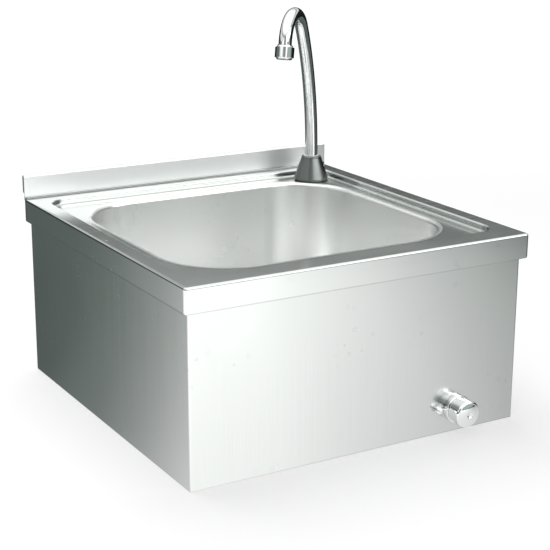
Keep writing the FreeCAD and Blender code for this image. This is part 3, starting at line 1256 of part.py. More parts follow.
def make_lever():
    """Ring round the neck, with a short rod and a ball on its left side."""
    ring = new_body("mixing_ring")
    bore = "(neck_d / 2 + running_play)"
    room = "(clamp_d / 2 + ring_gap)"
    turn(ring, "turning", (
        (room, "-ring_gap"), ("ring_d / 2", "-ring_gap"), ("ring_d / 2", f"{RING_FRONT} + 1.2"),
        ("ring_d / 2 - 1.2", RING_FRONT, "-1.2"), (bore, RING_FRONT),
        (bore, "-clamp_t - ring_gap"), (room, "-clamp_t - ring_gap"),
    ))
    middle = "(-ring_gap - ring_t / 2)"
    out = size_of("lever_out")
    socket = sketch_on(ring, "YZ_Plane", "socket_outline")
    socket.AttachmentOffset = Placement(Vector(), Rotation(Vector(1, 0, 0), -out))
    draw_circle(socket, "0", f"{middle} * cos(lever_out * 1 deg)", "lever_rod_d")
    pocket(ring, "socket", socket, "ring_d / 2 + 1")
    heading = Rotation(Vector(0, 1, 0), size_of("lever_tilt")).multiply(Rotation(Vector(1, 0, 0), -90))
    ring.Placement = Placement(Vector(size_of(VALVE_X), size_of(PANEL), size_of(VALVE_Z)), heading)
    keep(ring)

    lean = Rotation(Vector(0, 1, 0), -out)
    sideways = Rotation(Vector(0, 0, 1), heading.multVec(lean.multVec(Vector(-1, 0, 0))))
    pivot = Vector(size_of(VALVE_X), size_of(f"{PANEL} + {middle}"), size_of(VALVE_Z))
    seat = "(lever_reach - lever_ball_d / 2 + lever_seat)"

    rod = new_body("lever_rod")
    sketch = sketch_on(rod, "XY_Plane", "section", f"{room} + 0.1")
    draw_circle(sketch, "0", "0", "lever_rod_d")
    pad(rod, "bar", sketch, f"{seat} - {room} - 0.1")
    rod.Placement = Placement(pivot, sideways)
    keep(rod)

    ball = new_body("lever_ball")
    flat = "sqrt((lever_ball_d / 2) ^ 2 - (lever_ball_d / 2 - lever_seat) ^ 2)"
    turn(ball, "turning", (
        ("0", seat), (flat, seat), ("lever_ball_d / 2", "lever_reach", "lever_ball_d / 2"),
        ("0", "lever_reach + lever_ball_d / 2", "lever_ball_d / 2"),
    ))
    ball.Placement = Placement(pivot, sideways)
    keep(ball)


# ---------------------------------------------------------------------------------------
# Build, check and export
# ---------------------------------------------------------------------------------------

make_deck_top()
make_bowl()
make_sound_pad()
make_casing()
make_hat("rear_rail", "rail_height", f"({WORKTOP} - top_sheet)", rail_slots, "rail_shelf")
make_hat("lower_brace", "brace_height", f"({LOWER_EDGE} + brace_up + brace_height)", brace_holes, None)
make_fasteners()
make_waste()
make_tap_base()
make_spout()
make_aerator()
make_valve_body()
make_inlets()
make_riser()
make_button()
make_lever()
doc.recompute()

for item in doc.Objects:
    if {"Invalid", "Error"} & set(item.State):
        raise RuntimeError(f"{item.Name} failed to compute: {item.State}")
for node in nodes:
    if node.Shape.isNull() or not node.Shape.isValid() or not node.Shape.Solids:
        raise RuntimeError(f"{node.Label} has no valid solid")
labels = [node.Label for node in nodes]
if len(set(labels)) != len(labels):
    raise RuntimeError("two nodes share one label")
for node in nodes:
    node.Shape.exportStep(f"parts/{node.Label}.step")
print(f"{len(nodes)} nodes written")
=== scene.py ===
import json
import math

import bpy
from mathutils import Matrix, Vector

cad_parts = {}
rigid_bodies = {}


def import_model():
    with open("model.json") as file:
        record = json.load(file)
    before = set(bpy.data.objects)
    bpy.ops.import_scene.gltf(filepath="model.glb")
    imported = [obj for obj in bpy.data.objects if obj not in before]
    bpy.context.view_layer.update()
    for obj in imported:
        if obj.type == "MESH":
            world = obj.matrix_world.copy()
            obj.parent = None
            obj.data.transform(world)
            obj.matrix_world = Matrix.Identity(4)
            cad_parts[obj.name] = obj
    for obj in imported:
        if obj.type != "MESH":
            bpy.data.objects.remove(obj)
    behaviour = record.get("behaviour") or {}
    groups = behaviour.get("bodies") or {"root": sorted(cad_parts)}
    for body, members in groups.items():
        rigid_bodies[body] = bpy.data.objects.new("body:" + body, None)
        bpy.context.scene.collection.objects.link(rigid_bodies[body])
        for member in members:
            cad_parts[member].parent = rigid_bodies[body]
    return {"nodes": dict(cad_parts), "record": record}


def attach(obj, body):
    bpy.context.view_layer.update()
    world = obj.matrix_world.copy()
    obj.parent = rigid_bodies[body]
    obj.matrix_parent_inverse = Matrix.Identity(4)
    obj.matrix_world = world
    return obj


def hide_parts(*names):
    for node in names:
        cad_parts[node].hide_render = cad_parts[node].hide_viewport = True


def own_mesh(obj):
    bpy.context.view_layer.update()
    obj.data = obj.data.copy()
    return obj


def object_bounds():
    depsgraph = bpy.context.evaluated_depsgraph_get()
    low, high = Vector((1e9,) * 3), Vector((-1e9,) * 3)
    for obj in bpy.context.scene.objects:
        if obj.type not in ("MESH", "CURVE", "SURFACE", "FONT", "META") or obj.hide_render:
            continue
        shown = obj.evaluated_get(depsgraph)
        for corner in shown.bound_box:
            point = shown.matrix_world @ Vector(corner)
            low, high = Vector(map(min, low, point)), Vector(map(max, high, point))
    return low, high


# %% [markdown]
# # A hand wash sink in satin stainless steel
#
# The sink hangs on a wall: a folded worktop with a raised rim and a pressed recess, a deep
# bowl, a folded casing round it, a swan-neck spout and a push button in the front panel.
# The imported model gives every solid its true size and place. What is left for Blender is
# how it looks: the finishes, the threads and screw heads that are too fine for a solid,
# and a studio whose reflections give sheet steel its shape.
#
# Everything is in metres, +Z up, with the wall at Y = 0 and the user on the -Y side.

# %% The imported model
for leftover in list(bpy.data.objects):
    bpy.data.objects.remove(leftover)
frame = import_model()
nodes = frame["nodes"]
cad_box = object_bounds()
print(len(nodes), "nodes, overall", [round(high - low, 4) for low, high in zip(*cad_box)])

# %% [markdown]
# ## Camera
#
# A product shot of a sink is taken from the left and a little above, so that the bowl, the
# front panel and the side all show. The camera stands 1.8 m away with a short tele lens,
# which keeps the box shape calm. Its place and turn were worked out from the corners of
# the worktop, which is a square of known size, so no trial and error is needed.

# %% Camera
CAMERA_PLACE = Vector((-0.8480, -1.7022, 0.4652))
LOOK = Vector((0.48459, 0.82809, -0.28187))
RIGHT = Vector((0.86374, -0.50392, 0.00449))
LENS_MM = 93.84

lens = bpy.data.cameras.new("product_camera")
lens.lens = LENS_MM
lens.sensor_width = 36
camera = bpy.data.objects.new("product_camera", lens)
bpy.context.scene.collection.objects.link(camera)
up = RIGHT.cross(LOOK).normalized()
camera.matrix_world = Matrix((
    (RIGHT.x, up.x, -LOOK.x, CAMERA_PLACE.x),
    (RIGHT.y, up.y, -LOOK.y, CAMERA_PLACE.y),
    (RIGHT.z, up.z, -LOOK.z, CAMERA_PLACE.z),
    (0, 0, 0, 1)))
bpy.context.scene.camera = camera
bpy.context.scene.view_settings.view_transform = "Standard"
print("camera", round(CAMERA_PLACE.length, 2), "m from the origin, lens", LENS_MM, "mm")

# %% [markdown]
# ## Helpers for node materials
#
# Colours are written as the sRGB hex values that a paint chart or a picture editor shows.
# Shaders count in linear light, so one function turns them. A second small function adds
# a node and fills its sockets, either with a number or with a link from another node.

# %% Colour and node helpers
def hex_colour(code):
    """An sRGB hex code as a linear RGBA colour."""
    parts = [int(code[at:at + 2], 16) / 255 for at in (1, 3, 5)]
    return [part / 12.92 if part <= 0.04045 else ((part + 0.055) / 1.055) ** 2.4
            for part in parts] + [1]


def add(tree, kind, sockets=None, **settings):
    """Add a node, apply its settings, then fill its sockets with numbers or links."""
    made = tree.nodes.new(kind)
    for name, value in settings.items():
        setattr(made, name, value)
    for name, value in (sockets or {}).items():
        if isinstance(value, bpy.types.NodeSocket):
            tree.links.new(value, made.inputs[name])
        else:
            made.inputs[name].default_value = value
    return made


def fill_ramp(ramp, stops):
    """Give a colour ramp its (position, level) stops. Dim levels are faintly green, like the
    unlit side of a room with a green cast."""
    elements = ramp.color_ramp.elements
    while len(elements) > 1:
        elements.remove(elements[-1])
    for number, (position, level) in enumerate(stops):
        stop = elements[0] if number == 0 else elements.new(position)
        stop.position = position
        dim = max(0.0, 1.0 - level / 0.6)
        stop.color = (level * (1 - 0.20 * dim), level, level * (1 - 0.07 * dim), 1)


def start_material(name):
    """An empty node material with its output, ready for a shader."""
    material = bpy.data.materials.new(name)
    material.use_nodes = True
    material.node_tree.nodes.clear()
    output = add(material.node_tree, "ShaderNodeOutputMaterial")
    return material, material.node_tree, output


# %% [markdown]
# ## The studio
#
# Metal has no colour of its own to speak of: it shows the room. A steel sink in a plain
# white void looks like grey card, so the room gets a few broad zones. It is bright in
# front of the sink and overhead, dim behind it and in a band between wall and ceiling, and
# there is a darker slot where the camera itself is. The camera sees none of this: for its
# rays, and through glass, the room is white. The zones are drawn straight on the world by
# direction, which costs no lamps and no noise. They are set for this one camera place, so
# from high above the bowl and the rim mirror the bright ceiling and come out nearly white.

# %% The room that the steel reflects
world = bpy.data.worlds.new("soft_box_studio")
bpy.context.scene.world = world
world.use_nodes = True
room = world.node_tree
room.nodes.clear()
direction = add(room, "ShaderNodeTexCoord").outputs["Generated"]
apart = add(room, "ShaderNodeSeparateXYZ", {0: direction})
forward = add(room, "ShaderNodeMath", {0: apart.outputs["Y"], 1: -1.0}, operation="MULTIPLY")
bearing = add(room, "ShaderNodeMath", {0: apart.outputs["X"], 1: forward.outputs[0]},
              operation="ARCTAN2")
turn_share = add(room, "ShaderNodeMapRange", {
    "Value": bearing.outputs[0], "From Min": -math.pi, "From Max": math.pi})
round_the_room = add(room, "ShaderNodeValToRGB", {"Fac": turn_share.outputs[0]})
BEARINGS = ((-180, 0.11), (-165, 0.13), (-150, 0.28), (-143, 0.40), (-137, 1.25), (-60, 1.30),
            (-50, 0.40), (-30, 0.28), (-20, 0.40), (-8, 2.80), (24, 3.50), (46, 3.20), (54, 1.40),
            (62, 0.35), (72, 0.12), (150, 0.13), (180, 0.11))
fill_ramp(round_the_room, [((angle + 180) / 360, level) for angle, level in BEARINGS])
height_share = add(room, "ShaderNodeMapRange", {
    "Value": apart.outputs["Z"], "From Min": -1.0, "From Max": 1.0})
taller = add(room, "ShaderNodeMapRange", {
    "Value": forward.outputs[0], "From Min": 0.2, "From Max": 0.6, "To Min": 0.0, "To Max": 0.12})
wall_share = add(room, "ShaderNodeMath", {0: height_share.outputs[0], 1: taller.outputs[0]},
                 operation="SUBTRACT")
up_the_room = add(room, "ShaderNodeValToRGB", {"Fac": wall_share.outputs[0]})
fill_ramp(up_the_room, ((0.0, 1.0), (0.632, 1.0), (0.655, 0.0), (1.0, 0.0)))
near_the_ground = add(room, "ShaderNodeValToRGB", {"Fac": height_share.outputs[0]})
fill_ramp(near_the_ground, ((0.0, 0.2), (0.60, 0.13), (0.63, 1.0), (1.0, 1.0)))
walls = add(room, "ShaderNodeMix", {
    "Factor": 1.0, 6: round_the_room.outputs["Color"], 7: near_the_ground.outputs["Color"]},
    data_type="RGBA", blend_type="MULTIPLY")
overhead = add(room, "ShaderNodeValToRGB", {"Fac": height_share.outputs[0]})
fill_ramp(overhead, (
    (0.0, 0.2), (0.645, 0.22), (0.665, 0.85), (0.70, 0.85), (0.75, 0.30), (0.80, 0.9),
    (0.85, 1.35), (1.0, 1.35)))
zones = add(room, "ShaderNodeMix", {
    "Factor": up_the_room.outputs["Color"], 6: overhead.outputs["Color"],
    7: walls.outputs[2]}, data_type="RGBA")
DIFFUSE_SHARE = 0.3
rays = add(room, "ShaderNodeLightPath")
seen_as_white = add(room, "ShaderNodeMath", {
    0: rays.outputs["Is Camera Ray"], 1: rays.outputs["Is Transmission Ray"]},
    operation="MAXIMUM")
backdrop = add(room, "ShaderNodeMix", {
    "Factor": seen_as_white.outputs[0], 6: zones.outputs[2], 7: (1, 1, 1, 1)}, data_type="RGBA")
soft_light = add(room, "ShaderNodeMapRange", {
    "Value": rays.outputs["Is Diffuse Ray"], "To Min": 1.0, "To Max": DIFFUSE_SHARE})
light = add(room, "ShaderNodeBackground", {
    "Color": backdrop.outputs[2], "Strength": soft_light.outputs[0]})
add(room, "ShaderNodeOutputWorld", {"Surface": light.outputs[0]})
print("room with", len(BEARINGS), "levels round it, matte things get", DIFFUSE_SHARE, "of it")

# %% [markdown]
# ## Floor
#
# A white sheet of paper. To the camera it is mostly an even white glow, and the rest is
# ordinary paper, so the sink still throws a pale shadow. In the steel it shows as a painted
# glow of its own, not lit by the lamps: a patch that falls off to grey, as paper in a studio
# does away from its lamps, towards the right in front of the sink, which gives the front
# panel its slow change from white to grey, and towards the back on the left, which makes
# the side panel the darkest one.

# %% Floor
FLOOR_GAP = 0.0005
PAPER_SIZE = 12
FLOOR_LEVEL = cad_box[0].z - FLOOR_GAP
bpy.ops.mesh.primitive_plane_add(size=PAPER_SIZE, location=(0, 0, FLOOR_LEVEL))
floor = bpy.context.object
floor.name = "paper_floor"
material, tree, output = start_material("white_paper")
place = add(tree, "ShaderNodeTexCoord").outputs["Object"]


def glow_across(direction, stops):
    """Brightness by how far a spot lies along a level direction, as (metres, level) stops."""
    reach = 1.0
    along = add(tree, "ShaderNodeVectorMath", {0: place, 1: direction}, operation="DOT_PRODUCT")
    share = add(tree, "ShaderNodeMapRange", {
        "Value": along.outputs["Value"], "From Min": -reach, "From Max": reach})
    ramp = add(tree, "ShaderNodeValToRGB", {"Fac": share.outputs[0]})
    fill_ramp(ramp, [((at + reach) / (2 * reach), level) for at, level in stops])
    return ramp.outputs["Color"]


# Painted glow: these levels are the paper's own light as the steel mirrors it.
front_glow = glow_across((0.891, 0.454, 0), (
    (-0.46, 1.42), (-0.30, 1.35), (-0.20, 1.12), (-0.10, 0.93), (0.0, 0.68), (0.12, 0.48),
    (0.25, 0.20), (0.4, 0.08)))
left_glow = glow_across((0.838, 0.545, 0), (
    (-0.60, 1.15), (-0.43, 0.85), (-0.40, 0.70), (-0.36, 0.50), (-0.33, 0.40), (-0.29, 0.28),
    (-0.24, 0.22), (-0.20, 0.16), (-0.1, 0.12)))
spot = add(tree, "ShaderNodeSeparateXYZ", {0: place})
behind = add(tree, "ShaderNodeMapRange", {
    "Value": spot.outputs["Y"], "From Min": -0.452, "From Max": -0.446})
mirrored_level = add(tree, "ShaderNodeMix", {
    "Factor": behind.outputs[0], 6: front_glow, 7: left_glow}, data_type="RGBA")
UNDER_THE_TAP = (0.12, -0.09, 0)
FAR_REACH = 2.0
away = add(tree, "ShaderNodeVectorMath", {0: place, 1: UNDER_THE_TAP}, operation="DISTANCE")
away_share = add(tree, "ShaderNodeMath", {
    0: away.outputs["Value"], 1: FAR_REACH}, operation="DIVIDE")
painted_glow_falloff = add(tree, "ShaderNodeValToRGB", {"Fac": away_share.outputs[0]})
fill_ramp(painted_glow_falloff, [(at / FAR_REACH, level) for at, level in (
    (0.38, 0.88), (1.05, 1.18), (1.30, 1.20), (1.48, 0.10))])
# Painted glow: the steel mirrors this emission, not the lamps' light on the paper.
mirrored = add(tree, "ShaderNodeEmission", {
    "Color": mirrored_level.outputs[2], "Strength": painted_glow_falloff.outputs["Color"]})
white = add(tree, "ShaderNodeEmission", {"Color": (1, 1, 1, 1), "Strength": 1.05})
paper = add(tree, "ShaderNodeBsdfDiffuse", {"Color": hex_colour("#F4F4F4")})
rays = add(tree, "ShaderNodeLightPath")
seen = add(tree, "ShaderNodeMath", {
    0: rays.outputs["Is Camera Ray"], 1: rays.outputs["Is Transmission Ray"]}, operation="MAXIMUM")
far_off = add(tree, "ShaderNodeMapRange", {
    "Value": away.outputs["Value"], "From Min": 0.9, "From Max": 1.6, "To Min": 0.5, "To Max": 1.0})
white_share = add(tree, "ShaderNodeMath", {0: seen.outputs[0], 1: far_off.outputs[0]},
                  operation="MULTIPLY")
direct = add(tree, "ShaderNodeMixShader", {
    0: white_share.outputs[0], 1: paper.outputs[0], 2: white.outputs[0]})
sheet = add(tree, "ShaderNodeMixShader", {
    0: rays.outputs["Is Glossy Ray"], 1: direct.outputs[0], 2: mirrored.outputs[0]})
tree.links.new(sheet.outputs[0], output.inputs["Surface"])
floor.data.materials.append(material)
print("paper", PAPER_SIZE, "m wide at", round(FLOOR_LEVEL, 4), "m")

# %% [markdown]
# ## Lamps
#
# Two soft boxes: a large one above and a little behind the sink, which draws the shadow
# forward under the front panel, and a second one at the front left, which fills the
# casing. Both are large, so every shadow is soft, and neither shows in the steel, which
# mirrors the room alone.

# %% Lamps
def soft_box(name, place, aim, size, watts):
    """A square area lamp at a place, turned towards the point that it lights."""
    lamp = bpy.data.lights.new(name, "AREA")
    lamp.shape = "SQUARE"
    lamp.size = size
    lamp.energy = watts
    holder = bpy.data.objects.new(name, lamp)
    holder.location = place
    holder.rotation_euler = (Vector(aim) - Vector(place)).to_track_quat("-Z", "Y").to_euler()
    bpy.context.scene.collection.objects.link(holder)
    return holder


MIDDLE_OF_SINK = (0.0, -0.25, 0.0)
boxes = (soft_box("top_soft_box", (-0.1, 0.5, 2.1), MIDDLE_OF_SINK, 1.8, 45),
         soft_box("front_soft_box", (-1.3, -1.6, 1.6), MIDDLE_OF_SINK, 1.2, 10))
for box in boxes:
    box.visible_glossy = False
    print(box.name, box.data.energy, "W")

# %% [markdown]
# ## Marks of use
#
# A sink is splashed and wiped all day. Drops of hard water dry to thin rings of lime, and
# cloths polish the folded edge that they run over. Both are kept faint: lime blurs the
# reflection under it and takes a little of its brightness, and the polished edge is
# sharper. The rings are cells of a Voronoi pattern, some 14 mm apart and 4 mm across, and
# a slow noise leaves most of the sheet without any.

# %% Marks of use
DROPS_PER_METRE = 70.0
RING_RADIUS, RING_HALF_WIDTH = 0.16, 0.03
PATCHES_PER_METRE = 11.0


def water_marks(tree, place):
    """Rings that dried drops leave, here and there: 1 on a ring and 0 elsewhere."""
    cells = add(tree, "ShaderNodeTexVoronoi", {"Vector": place, "Scale": DROPS_PER_METRE})
    ring = add(tree, "ShaderNodeMath", {
        0: cells.outputs["Distance"], 1: RING_RADIUS, 2: RING_HALF_WIDTH}, operation="COMPARE")
    patches = add(tree, "ShaderNodeTexNoise", {
        "Vector": place, "Scale": PATCHES_PER_METRE, "Detail": 1.0})
    splashed = add(tree, "ShaderNodeMapRange", {
        "Value": patches.outputs["Fac"], "From Min": 0.54, "From Max": 0.64})
    return add(tree, "ShaderNodeMath", {0: ring.outputs[0], 1: splashed.outputs[0]},
               operation="MULTIPLY").outputs[0]


def rubbed_edge(tree, place):
    """The worktop's folded edge, left, right and front: 1 at the fold and 0 away from it."""
    spot = add(tree, "ShaderNodeSeparateXYZ", {0: place})
    aside = add(tree, "ShaderNodeMath", {0: spot.outputs["X"]}, operation="ABSOLUTE")
    side = add(tree, "ShaderNodeMapRange", {
        "Value": aside.outputs[0], "From Min": 0.2215, "From Max": 0.2245})
    front = add(tree, "ShaderNodeMapRange", {
        "Value": spot.outputs["Y"], "From Min": -0.4525, "From Max": -0.4555})
    outer = add(tree, "ShaderNodeMath", {0: side.outputs[0], 1: front.outputs[0]},
                operation="MAXIMUM")
    top = add(tree, "ShaderNodeMapRange", {
        "Value": spot.outputs["Z"], "From Min": 0.038, "From Max": 0.041})
    return add(tree, "ShaderNodeMath", {0: outer.outputs[0], 1: top.outputs[0]},
               operation="MULTIPLY").outputs[0]


def dulled_by(tree, colour, roughness, marks, darker=0.07, rougher=0.08):
    """Colour and roughness sockets with the marks laid over them."""
    soiled = add(tree, "ShaderNodeMix", {
        "Factor": marks, 6: (0, 0, 0, 1), 7: (darker, darker, darker, 1)}, data_type="RGBA")
    tone = add(tree, "ShaderNodeMix", {
        "Factor": 1.0, 6: colour, 7: soiled.outputs[2]}, data_type="RGBA", blend_type="SUBTRACT")
    gloss = add(tree, "ShaderNodeMath", {0: marks, 1: rougher, 2: roughness},
                operation="MULTIPLY_ADD")
    return tone.outputs[2], gloss.outputs[0]


# %% [markdown]
# ## Satin stainless steel
#
# The worktop and the casing are stainless steel sheet with a satin finish: the mill rolls
# it smooth, then a grit belt draws fine straight scratches along it. The scratches blur
# reflections a little, and leave faint streaks along the grain. A stretched noise gives
# both. Real scratches are about 0.1 mm apart, which no picture of a whole sink can show,
# so they are drawn 1 to 2 mm apart and very shallow.
#
# The upstand is more blurred than the rest of the worktop and is painted lighter, a painted
# sheen, and a dark line of painted shade lies in the corner at its foot. Both are painted by
# place. Mirrored light alone leaves the upstand greyer than steel in such a corner looks in a
# product shot.

# %% Satin steel
UPSTAND_FOOT = {"From Min": 0.0435, "From Max": 0.0455}
CORNER = {"From Min": -0.012, "From Max": -0.006}
# Painted shade: how much of the dark corner colour is laid on at the upstand's foot.
CORNER_PAINTED_SHADE_SHARE = 0.7
# Painted sheen: the upstand's lighter colour.
UPSTAND_PAINTED_SHEEN = "#F8F9F9"
# Painted shade: the colour of the dark line in the corner.
CORNER_PAINTED_SHADE = "#3C4240"
EDGE_SHARPER = -0.05


def satin_steel(name, colour, grain, roughness, streaks=0.05, groove=0.02, upstand=None):
    """Belt-ground sheet. Grain is the pattern's scale along X, Y and Z, in lines a metre:
    small along the scratches and large across them. The upstand may have its own roughness;
    with it, the upstand is painted lighter, a painted sheen, and painted shade darkens the
    corner at its foot."""
    material, tree, output = start_material(name)
    place = add(tree, "ShaderNodeTexCoord").outputs["Object"]
    stretched = add(tree, "ShaderNodeMapping", {"Vector": place, "Scale": grain})
    scratches = add(tree, "ShaderNodeTexNoise", {
        "Vector": stretched.outputs[0], "Scale": 1.0, "Detail": 4.0, "Roughness": 0.6})
    clouds = add(tree, "ShaderNodeTexNoise", {"Vector": place, "Scale": 9.0, "Detail": 2.0})
    base = hex_colour(colour)
    dull = [channel * (1 - streaks) for channel in base[:3]] + [1]
    bright = [min(1, channel * (1 + streaks)) for channel in base[:3]] + [1]
    tone = add(tree, "ShaderNodeMix", {
        "Factor": scratches.outputs["Fac"], 6: dull, 7: bright}, data_type="RGBA")
    rough = add(tree, "ShaderNodeMapRange", {
        "Value": scratches.outputs["Fac"], "From Min": 0.3, "From Max": 0.7,
        "To Min": roughness - 0.03, "To Max": roughness + 0.03})
    handled = add(tree, "ShaderNodeMapRange", {
        "Value": clouds.outputs["Fac"], "From Min": 0.35, "From Max": 0.65, "To Min": -0.01,
        "To Max": 0.02})
    gloss = add(tree, "ShaderNodeMath", {0: rough.outputs[0], 1: handled.outputs[0]},
                operation="ADD")
    if upstand:
        spot = add(tree, "ShaderNodeSeparateXYZ", {0: place})
        risen = add(tree, "ShaderNodeMapRange", {"Value": spot.outputs["Z"], **UPSTAND_FOOT})
        gloss = add(tree, "ShaderNodeMath", {
            0: risen.outputs[0], 1: upstand - roughness, 2: gloss.outputs[0]},
            operation="MULTIPLY_ADD")
        # Painted sheen: the upstand is painted lighter to stand in for light that it does not
        # mirror.
        tone = add(tree, "ShaderNodeMix", {
            "Factor": risen.outputs[0], 6: tone.outputs[2], 7: hex_colour(UPSTAND_PAINTED_SHEEN)},
            data_type="RGBA")
        # Painted shade: a dark line in the corner at the upstand's foot.
        cove = add(tree, "ShaderNodeMapRange", {
            "Value": spot.outputs["Y"], **CORNER, "To Max": CORNER_PAINTED_SHADE_SHARE})
        low = add(tree, "ShaderNodeMapRange", {
            "Value": spot.outputs["Z"], **UPSTAND_FOOT, "To Min": 1.0, "To Max": 0.0})
        painted_corner_shade = add(tree, "ShaderNodeMath", {0: cove.outputs[0], 1: low.outputs[0]},
                    operation="MULTIPLY")
        tone = add(tree, "ShaderNodeMix", {
            "Factor": painted_corner_shade.outputs[0], 6: tone.outputs[2], 7: hex_colour(CORNER_PAINTED_SHADE)},
            data_type="RGBA")
        gloss = add(tree, "ShaderNodeMath", {
            0: rubbed_edge(tree, place), 1: EDGE_SHARPER, 2: gloss.outputs[0]},
            operation="MULTIPLY_ADD")
    marked_tone, marked_gloss = dulled_by(
        tree, tone.outputs[2], gloss.outputs[0], water_marks(tree, place))
    relief = add(tree, "ShaderNodeBump", {
        "Height": scratches.outputs["Fac"], "Strength": groove, "Distance": 0.0002})
    steel = add(tree, "ShaderNodeBsdfPrincipled", {
        "Base Color": marked_tone, "Metallic": 1.0, "Roughness": marked_gloss,
        "Normal": relief.outputs[0]})
    tree.links.new(steel.outputs[0], output.inputs["Surface"])
    return material


ACROSS, ALONG = 700, 6
worktop_steel = satin_steel("satin_steel_worktop", "#DADDDB", (ALONG, ACROSS, ACROSS), 0.18,
                            upstand=0.46)
casing_steel = satin_steel("satin_steel_casing", "#DADDDB", (ACROSS, ACROSS, ALONG), 0.20)
print(worktop_steel.name, "and", casing_steel.name, "with lines",
      round(1000 / ACROSS, 1), "mm apart")

# %% [markdown]
# ## Pressed bowl
#
# The bowl is drawn from the same sheet in a press. It is polished after drawing, so it is
# brighter than the worktop and has no straight grain, only a soft cloudy sheen. Light
# bounces five times and more between its walls, and a real one is smoother than this: at a
# lower roughness the paths run out of bounces and the bowl turns dark, so it is kept soft.

# %% Pressed steel
def plain_metal(name, colour, roughness, wander, mottle=0.03, scale=30.0, splashed=False):
    """Metal or plating with no grain: a little cloudiness in colour and gloss."""
    material, tree, output = start_material(name)
    place = add(tree, "ShaderNodeTexCoord").outputs["Object"]
    clouds = add(tree, "ShaderNodeTexNoise", {"Vector": place, "Scale": scale, "Detail": 3.0})
    base = hex_colour(colour)
    dull = [channel * (1 - mottle) for channel in base[:3]] + [1]
    tone = add(tree, "ShaderNodeMix", {
        "Factor": clouds.outputs["Fac"], 6: dull, 7: base}, data_type="RGBA")
    gloss = add(tree, "ShaderNodeMapRange", {
        "Value": clouds.outputs["Fac"], "From Min": 0.3, "From Max": 0.7,
        "To Min": max(0.02, roughness - wander), "To Max": roughness + wander})
    tone, gloss = tone.outputs[2], gloss.outputs[0]
    if splashed:
        tone, gloss = dulled_by(tree, tone, gloss, water_marks(tree, place))
    shader = add(tree, "ShaderNodeBsdfPrincipled", {
        "Base Color": tone, "Metallic": 1.0, "Roughness": gloss})
    tree.links.new(shader.outputs[0], output.inputs["Surface"])
    return material


bowl_steel = plain_metal("polished_pressed_steel", "#F8F9F8", 0.28, 0.01, scale=12.0,
                         splashed=True)
mill_steel = plain_metal("mill_finish_steel", "#BFC2C2", 0.32, 0.06)
zinc = plain_metal("bright_zinc_plate", "#B9BEC4", 0.28, 0.08, mottle=0.12, scale=120.0)
chrome = plain_metal("polished_chrome_plate", "#F2F3F3", 0.06, 0.01, scale=20.0, splashed=True)
satin_chrome = plain_metal("satin_chrome_plate", "#7A7E7C", 0.32, 0.04, scale=60.0)
brass = plain_metal("turned_brass", "#CDAE63", 0.30, 0.07, mottle=0.08, scale=80.0)

# %% [markdown]
# ## Rubber and plastic
#
# Gaskets are black EPDM rubber, the pad under the bowl is a bitumen sheet that deadens the
# sound of running water, and the waste body is white polypropylene with a soft gloss. The
# spout's bush and the aerator's insert are acetal.

# %% Rubber and plastic
def moulded(name, colour, roughness, bump_mm, grain_mm):
    """Moulded rubber or plastic with a fine even grain."""
    material, tree, output = start_material(name)
    place = add(tree, "ShaderNodeTexCoord").outputs["Object"]
    grain = add(tree, "ShaderNodeTexNoise", {
        "Vector": place, "Scale": 1000 / grain_mm, "Detail": 2.0})
    base = hex_colour(colour)
    tone = add(tree, "ShaderNodeMix", {
        "Factor": grain.outputs["Fac"], 6: [channel * 0.92 for channel in base[:3]] + [1],
        7: base}, data_type="RGBA")
    relief = add(tree, "ShaderNodeBump", {
        "Height": grain.outputs["Fac"], "Strength": 0.4, "Distance": bump_mm / 1000})
    shader = add(tree, "ShaderNodeBsdfPrincipled", {
        "Base Color": tone.outputs[2], "Roughness": roughness, "Normal": relief.outputs[0]})
    tree.links.new(shader.outputs[0], output.inputs["Surface"])
    return material


rubber = moulded("black_epdm_rubber", "#222222", 0.62, 0.08, 0.8)
bitumen = moulded("bitumen_damping_sheet", "#3A3A3C", 0.8, 0.3, 2.5)
polypropylene = moulded("white_polypropylene", "#E9E9E6", 0.38, 0.03, 1.2)
acetal = moulded("white_acetal", "#E4E4DF", 0.42, 0.02, 1.0)

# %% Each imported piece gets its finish
FINISH = {
    "stainless_satin": worktop_steel, "stainless_plain": mill_steel, "zinc_plated": zinc,
    "chrome_polished": chrome, "chrome_satin": satin_chrome, "brass_bare": brass,
    "copper_chromed": chrome,
    "rubber_black": rubber, "bitumen_pad": bitumen, "polypropylene_white": polypropylene,
    "acetal_white": acetal,
}
for part in frame["record"]["subparts"]:
    piece = nodes[part["node"]]
    for slot in piece.material_slots:
        slot.material = FINISH[part["material_slot"]]
for slot in nodes["casing"].material_slots:
    slot.material = casing_steel
for slot in nodes["bowl"].material_slots:
    slot.material = bowl_steel

# %% [markdown]
# ## Shop helpers
#
# Threads, nuts and screw heads are turned, milled and tapped, and are made the same way
# here. A turned piece is an outline spun about an axis. A thread is a toothed outline that
# climbs one pitch a turn and is cut square at both ends. Bores, recesses and the turned-off
# corners of a hexagon are cut with solid tools. Each piece is made upright at the origin
# and is then laid in its place, so that one helper serves every axis.

# %% Shop helpers
MM = 0.001
SMOOTH_BELOW = math.radians(35)
SAME_SPOT = MM / 1000
BEYOND = 1  # mm by which a tool passes the piece it cuts
CLEAR = 0.1  # mm by which a cone's tip stands off a face, so that no faces coincide
FACE_SHARE = 0.95  # a nut's round bearing face, as a share of its width across flats
CONE_SIDES = 100  # no multiple of 6, so that no cone edge meets a hexagon's corner


def alone(piece):
    """Select this piece only and make it the active one."""
    bpy.ops.object.select_all(action="DESELECT")
    piece.select_set(True)
    bpy.context.view_layer.objects.active = piece


